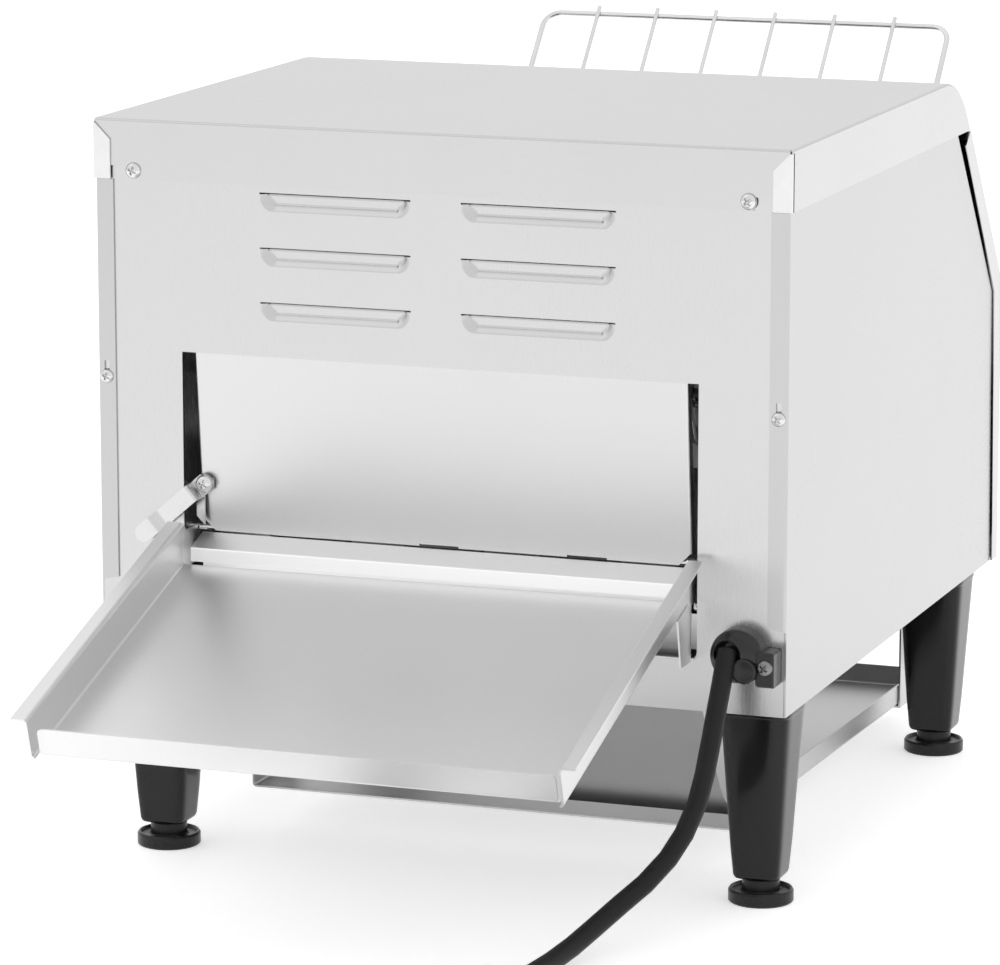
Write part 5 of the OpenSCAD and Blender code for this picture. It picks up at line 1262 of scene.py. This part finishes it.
# --- Gland ---
class TOASTER_OT_gland(bpy.types.Operator):
    """Mould the cable gland with its mouth, clamp and screw"""
    bl_idname = "toaster.gland"
    bl_label = "Cable gland"

    def execute(self, context):
        x, z = GLAND

        dome_r, mouth_r = 13.5, 6.9

        def dome(u, v):
            """A flattened dome, with a bell curve's rim round the mouth and a smooth step down into it."""
            r = np.clip(np.hypot(u, v) / dome_r, 0, 1)
            d = np.hypot(u - 3.4, v - 1.6)        # from the middle of the mouth
            rim = 0.5 * np.exp(-((d - mouth_r - 0.5) / 0.8) ** 2)
            sink = np.clip((mouth_r - d) / 0.7, 0, 1)
            return 7.0 + 6.0 * (1 - r ** 2.6) ** 0.5 + rim - 5.5 * sink * sink * (3 - 2 * sink)
        body = relief((x, 0, z), dome_r, 13, dome, 34, 96, -2.2)
        neck = turned([(0, -12.2), (8, -12.2), (8, -2.2), (0, -2.2)], (x, 0, z), "y", 40)
        boss = turned([(0, -2.2), (6.5, -2.2), (6.5, 12.6), (6.2, 13.6), (5.3, 14.0), (4.3, 13.7), (0, 13.5)],
                      (x - 5.5, 0, z - 6), "y", 48)
        outline = rounded([[x - 20, z - 14], [x - 10.5, z - 14], [x - 10.5, z + 3.5], [x - 20, z + 3.5],
                           [x - 20, z - 14 + 0.01]], [1.5, 1.5, 1.5], 4)[:-1]
        block = slab(outline, -2.2, 11, in_xz, 0.8)
        piece("gland_moulding", [body, neck, boss, block], finish("black"), "housing", ["cable_gland"],
              sharp=38)
        screw_r, screw_h = 4.0, 2.4
        screw = relief((x - 15.5, 10.8, z - 4), screw_r, screw_h, pan_head(screw_r, screw_h, 35))
        piece("gland_screw", [screw], finish("oiled"), "housing", sharp=50)
        return {"FINISHED"}


# --- Feed rack ---
class TOASTER_OT_rack(bpy.types.Operator):
    """Bend the feed rack's frame and weld its wires"""
    bl_idname = "toaster.rack"
    bl_label = "Feed rack"

    def execute(self, context):
        lean = radians(42.4)
        base = face_point(8, -4)
        c, s = cos(lean), sin(lean)
        half, high, r, bend = WALL_X - 14, 161.4, 1.7, 10

        def place(p):
            x, y, z = p[..., 0], p[..., 1], p[..., 2]
            return np.stack([x, base[0] + y * c - z * s, base[1] + y * s + z * c], -1)
        loop = rounded([[half, 0], [half, high], [-half, high], [-half, 0]], [bend, bend], 12)
        path = np.stack([loop[:, 0], 0 * loop[:, 0], loop[:, 1]], 1)
        wires = [wire(path, r, (0, 1, 0), 16)]
        bar = np.array([[x, 0, 0] for x in (-half - 6, -half, 0, half, half + 6)])
        wires.append(wire(bar, r, (0, 1, 0), 16))
        thin, sunk, gap = 1.25, 0.8, 36        # the cross wires: radius, depth of the weld, spacing
        y = r + thin - sunk
        for i in range(-3, 3):
            x = (i + 0.5) * gap
            tip = np.array([[x, y, -0.7], [x, y, 0.4], [x, y, high * 0.5], [x, y, high + 3.4], [x, y, high + 4]])
            wires.append(wire(tip, thin, (1, 0, 0), 12))
        parts = [(place(v), f) for v, f in wires]
        piece("rack_wires", parts, finish("wire"), "feed_rack", ["feed_rack"], sharp=50)
        return {"FINISHED"}


# --- Belt ---
class TOASTER_OT_belt(bpy.types.Operator):
    """Lay the belt's rungs round their wheels and hook them with wire links"""
    bl_idname = "toaster.belt"
    bl_label = "Conveyor belt"

    def execute(self, context):
        pitch, teeth, span, z = 18.0, 8, 16, 245.0
        rear, r = -85.0, 18.0 / 2 / sin(pi / 8)
        front = rear - span * pitch
        i = np.arange(span)
        a = np.arange(teeth // 2) * 2 * pi / teeth
        top = np.stack([rear - i * pitch, np.full(span, z + r)], 1)
        nose = np.stack([front + r * np.cos(pi / 2 + a), z + r * np.sin(pi / 2 + a)], 1)
        low = np.stack([front + i * pitch, np.full(span, z - r)], 1)
        tail = np.stack([rear + r * np.cos(3 * pi / 2 + a), z + r * np.sin(3 * pi / 2 + a)], 1)
        c = np.concatenate([top, nose, low, tail])
        n, half = len(c), WALL_X - 13
        # rungs: rings of a round bar at set places along x
        x = np.array([-half, -half + 0.4, 0, half - 0.4, half])
        rr = np.array([0.85, 1.25, 1.25, 1.25, 0.85])
        rings, sides = len(x), 12
        t = np.linspace(0, 2 * pi, sides, endpoint=False)
        p = np.empty((n, rings, sides, 3))
        p[..., 0] = x[None, :, None]
        p[..., 1] = c[:, 0, None, None] + rr[None, :, None] * np.cos(t)
        p[..., 2] = c[:, 1, None, None] + rr[None, :, None] * np.sin(t)
        start = np.arange(n) * rings * sides        # each rung's first point
        ends = np.arange(sides)
        faces = (quads(rings, sides, close_v=True) + start[:, None, None]).reshape(-1, 4).tolist()
        faces += (ends[::-1] + start[:, None]).tolist()
        faces += (ends + (rings - 1) * sides + start[:, None]).tolist()
        parts = [(p.reshape(-1, 3), faces)]
        # links: closed wire loops whose middle line is a stadium round two rungs
        nxt = np.roll(c, -1, axis=0)
        u = unit(nxt - c)
        w = np.stack([-u[:, 1], u[:, 0]], 1)
        link_r, reach = 1.0, 2.35        # the link's wire, and its middle line's distance from the rung's
        k, m = 16, 8                     # points along the loop and round its wire
        ang = np.linspace(-pi / 2, pi / 2, k // 2)
        hook = np.stack([reach * np.cos(ang), reach * np.sin(ang)], 1)
        loop = np.concatenate([[pitch, 0] + hook, -hook])
        tang = unit(np.roll(loop, -1, axis=0) - np.roll(loop, 1, axis=0))
        side = np.stack([tang[:, 1], -tang[:, 0]], 1)
        tt = np.linspace(0, 2 * pi, m, endpoint=False)
        flat = loop[:, None] + link_r * np.cos(tt)[None, :, None] * side[:, None]
        off = link_r * np.sin(tt)
        lx = np.array([10 - half, -41, 41, half - 10])
        g = np.empty((n, 4, k, m, 3))
        lane = np.where(np.arange(n) % 2 == 0, 1.2, -1.2)        # neighbours lie side by side on a rung
        g[..., 0] = lx[None, :, None, None] + lane[:, None, None, None] + off[None, None, None, :]
        for i in (0, 1):                 # y, then z
            ci, ui, wi = (e[:, i, None, None] for e in (c, u, w))
            g[..., i + 1] = (ci + ui * flat[..., 0] + wi * flat[..., 1])[:, None]
        q = quads(k, m, close_u=True, close_v=True)
        faces = (q[None] + (np.arange(n * 4) * k * m)[:, None, None]).reshape(-1, 4)
        parts.append((g.reshape(-1, 3), faces))
        piece("belt_wires", parts, finish("wire"), "housing", ["conveyor_belt"], sharp=60)
        return {"FINISHED"}


# --- Controls ---
class TOASTER_OT_controls(bpy.types.Operator):
    """Mould the knobs, print their scales and fit the lamps' lenses"""
    bl_idname = "toaster.controls"
    bl_label = "Controls"

    def execute(self, context):
        face = -CASE_D + LAP
        seat = face - 0.3
        for name, x, first, last, marks in (("selector_knob", -80.0, 90, -45, 4), ("speed_knob", 80.0, 225, -45, 11)):
            skirt = turned([(0, 0), (18.2, 0), (19, 0.7), (19, 2.2), (18.4, 3.0), (15.4, 3.6), (15, 4.2), (0, 4.2)],
                           (0, 0, 0), "y", 72)
            a = np.linspace(0, 2 * pi, 144, endpoint=False)
            rise = np.array([3.8, 4.4, 8, 12, 16.2, 17.4, 18.0, 18.0])
            rad = np.array([15, 15, 14.7, 14.4, 14.1, 13.6, 12.6, 0.01])
            # 24 flutes, by a cosine round the grip, up to its rounded top
            flute = 1 - 0.028 * (0.5 + 0.5 * np.cos(a * 24)) * (rise[:, None] < 17)
            out = rad[:, None] * flute
            p = np.stack([out * np.cos(a), rise[:, None] + 0 * a, out * np.sin(a)], -1)
            grip = (p.reshape(-1, 3), quads(len(rise), len(a), close_v=True))
            bar = slab([[-3.2, -13], [3.2, -13], [3.2, 13], [-3.2, 13]], 15, 20, in_xz, 1.0)
            stem = turned([(0, -13), (3, -13), (3, 0.5), (0, 0.5)], (0, 0, 0), "y", 24)
            # the knob stands out towards -y
            parts = [mirrored(part, 1, (x, seat, CONTROL_Z)) for part in (skirt, grip, bar, stem)]
            piece(name + "_moulded", parts, finish("black"), name, [name], sharp=34)
            mark = slab([[-0.6, 3], [0.6, 3], [0.6, 12], [-0.6, 12]], seat - 20.25, seat - 19.9, in_xz, 0.05)
            piece(name + "_line", [(mark[0] + [x, 0, CONTROL_Z], mark[1])], finish("ivory"), name)
            # printed scale round the knob
            ang = np.radians(np.linspace(first, last, marks))
            ticks = []
            for i, g in enumerate(ang):        # every fifth one longer
                u, w = np.array([cos(g), sin(g)]), np.array([-sin(g), cos(g)])
                long = 26.5 if i % 5 == 0 or marks < 6 else 24.8
                quad = [u * 22 - w * 0.4, u * long - w * 0.4, u * long + w * 0.4, u * 22 + w * 0.4]
                tick = slab(quad, face - 0.06, face + 0.2, in_xz, 0.02)
                ticks.append((tick[0] + [x, 0, CONTROL_Z], tick[1]))
            piece(name + "_scale", ticks, finish("mark"), "housing")
        ring = turned([(0, 3.4), (2.5, 3.3), (4.4, 2.7), (5.0, 1.9), (5.2, 1.4), (6.4, 1.3), (7, 0.7), (7, 0.02),
                       (5, 0.02), (5, -23), (0, -23)], (0, 0, 0), "y", 40)
        lens = [mirrored(ring, 1, (x, face, CONTROL_Z)) for x in (22, -22)]
        piece("lamp_lenses", lens, finish("lamp"), "housing", ["pilot_lamps"], sharp=40)
        return {"FINISHED"}


class TOASTER_OT_softened(bpy.types.Operator):
    """Ease the edges of the remaining plates, blocks and brackets"""
    bl_idname = "toaster.softened"
    bl_label = "Small parts"

    def execute(self, context):
        kinds = {node: kind for kind, nodes in NODE_FINISH.items() for node in nodes}
        bodies = {node: body for body, nodes in frame["record"]["behaviour"]["bodies"].items() for node in nodes}
        for node, width in (("latch_bracket", 0.2), ("rack_brackets", 0.25), ("terminal_block", 0.5),
                            ("gearmotor", 0.8), ("selector_switch", 0.6), ("speed_controller", 0.3),
                            ("gland_nut", 0.4), ("deflector_rod", 0.3), ("tray_studs", 0.2), ("front_panel", 0.3),
                            ("base_pan", 0.3), ("tray_hangers", 0.25), ("upper_reflector", 0.2), ("plug", 0.5),
                            ("front_shaft", 0.3), ("rear_shaft", 0.3), ("front_sprockets", 0.2),
                            ("rear_sprockets", 0.2), ("motor_sprocket", 0.15), ("driven_sprocket", 0.15),
                            ("upper_heaters", 0.2), ("lower_heaters", 0.2), ("heater_caps", 0.4),
                            ("leg_bolts", 0.3), ("shaft_bushes", 0.3), ("motor_bracket", 0.25), ("belt_guides", 0.2)):
            softened(node, width, finish(kinds[node]), bodies[node])
        return {"FINISHED"}


# --- Run ---
SETTINGS = {
    "toaster_case": CaseSettings, "toaster_tray": TraySettings, "toaster_leg": LegSettings,
    "toaster_cord": CordSettings, "toaster_finish": FinishSettings, "toaster_stage": StageSettings,
}
OPERATORS = [
    TOASTER_OT_camera, TOASTER_OT_finishes, TOASTER_OT_cover, TOASTER_OT_sides, TOASTER_OT_rear_panel,
    TOASTER_OT_rear_tray, TOASTER_OT_toast_tray, TOASTER_OT_deflector, TOASTER_OT_latch, TOASTER_OT_screws,
    TOASTER_OT_chute, TOASTER_OT_legs, TOASTER_OT_gland, TOASTER_OT_rack, TOASTER_OT_belt, TOASTER_OT_controls,
    TOASTER_OT_softened, TOASTER_OT_cord, TOASTER_OT_stage,
]
STEPS = [operator.bl_idname.split(".")[1] for operator in OPERATORS]        # in the order they run


class TOASTER_PT_panel(bpy.types.Panel):
    """Sizes, finishes and steps of the toaster"""
    bl_idname = "TOASTER_PT_panel"
    bl_label = "Conveyor toaster"
    bl_space_type = "VIEW_3D"
    bl_region_type = "UI"
    bl_category = "Toaster"

    def draw(self, context):
        for settings in SETTINGS:
            owner = getattr(context.scene, settings)
            box = self.layout.box()
            for prop in owner.bl_rna.properties:
                if prop.identifier not in ("rna_type", "name"):
                    box.prop(owner, prop.identifier)
        for step in STEPS:
            self.layout.operator("toaster." + step)


CLASSES = [*SETTINGS.values(), *OPERATORS, TOASTER_PT_panel]


def register():
    """Add the classes, and each group of settings to the scene."""
    for cls in CLASSES:
        bpy.utils.register_class(cls)
    for name, settings in SETTINGS.items():
        setattr(bpy.types.Scene, name, PointerProperty(type=settings))


def unregister():
    """Take the settings and the classes away again."""
    for name in SETTINGS:
        delattr(bpy.types.Scene, name)
    for cls in reversed(CLASSES):
        bpy.utils.unregister_class(cls)


def main():
    """Dress the frame."""
    register()
    for step in STEPS:
        getattr(bpy.ops.toaster, step)()


if __name__ == "__main__":
    main()
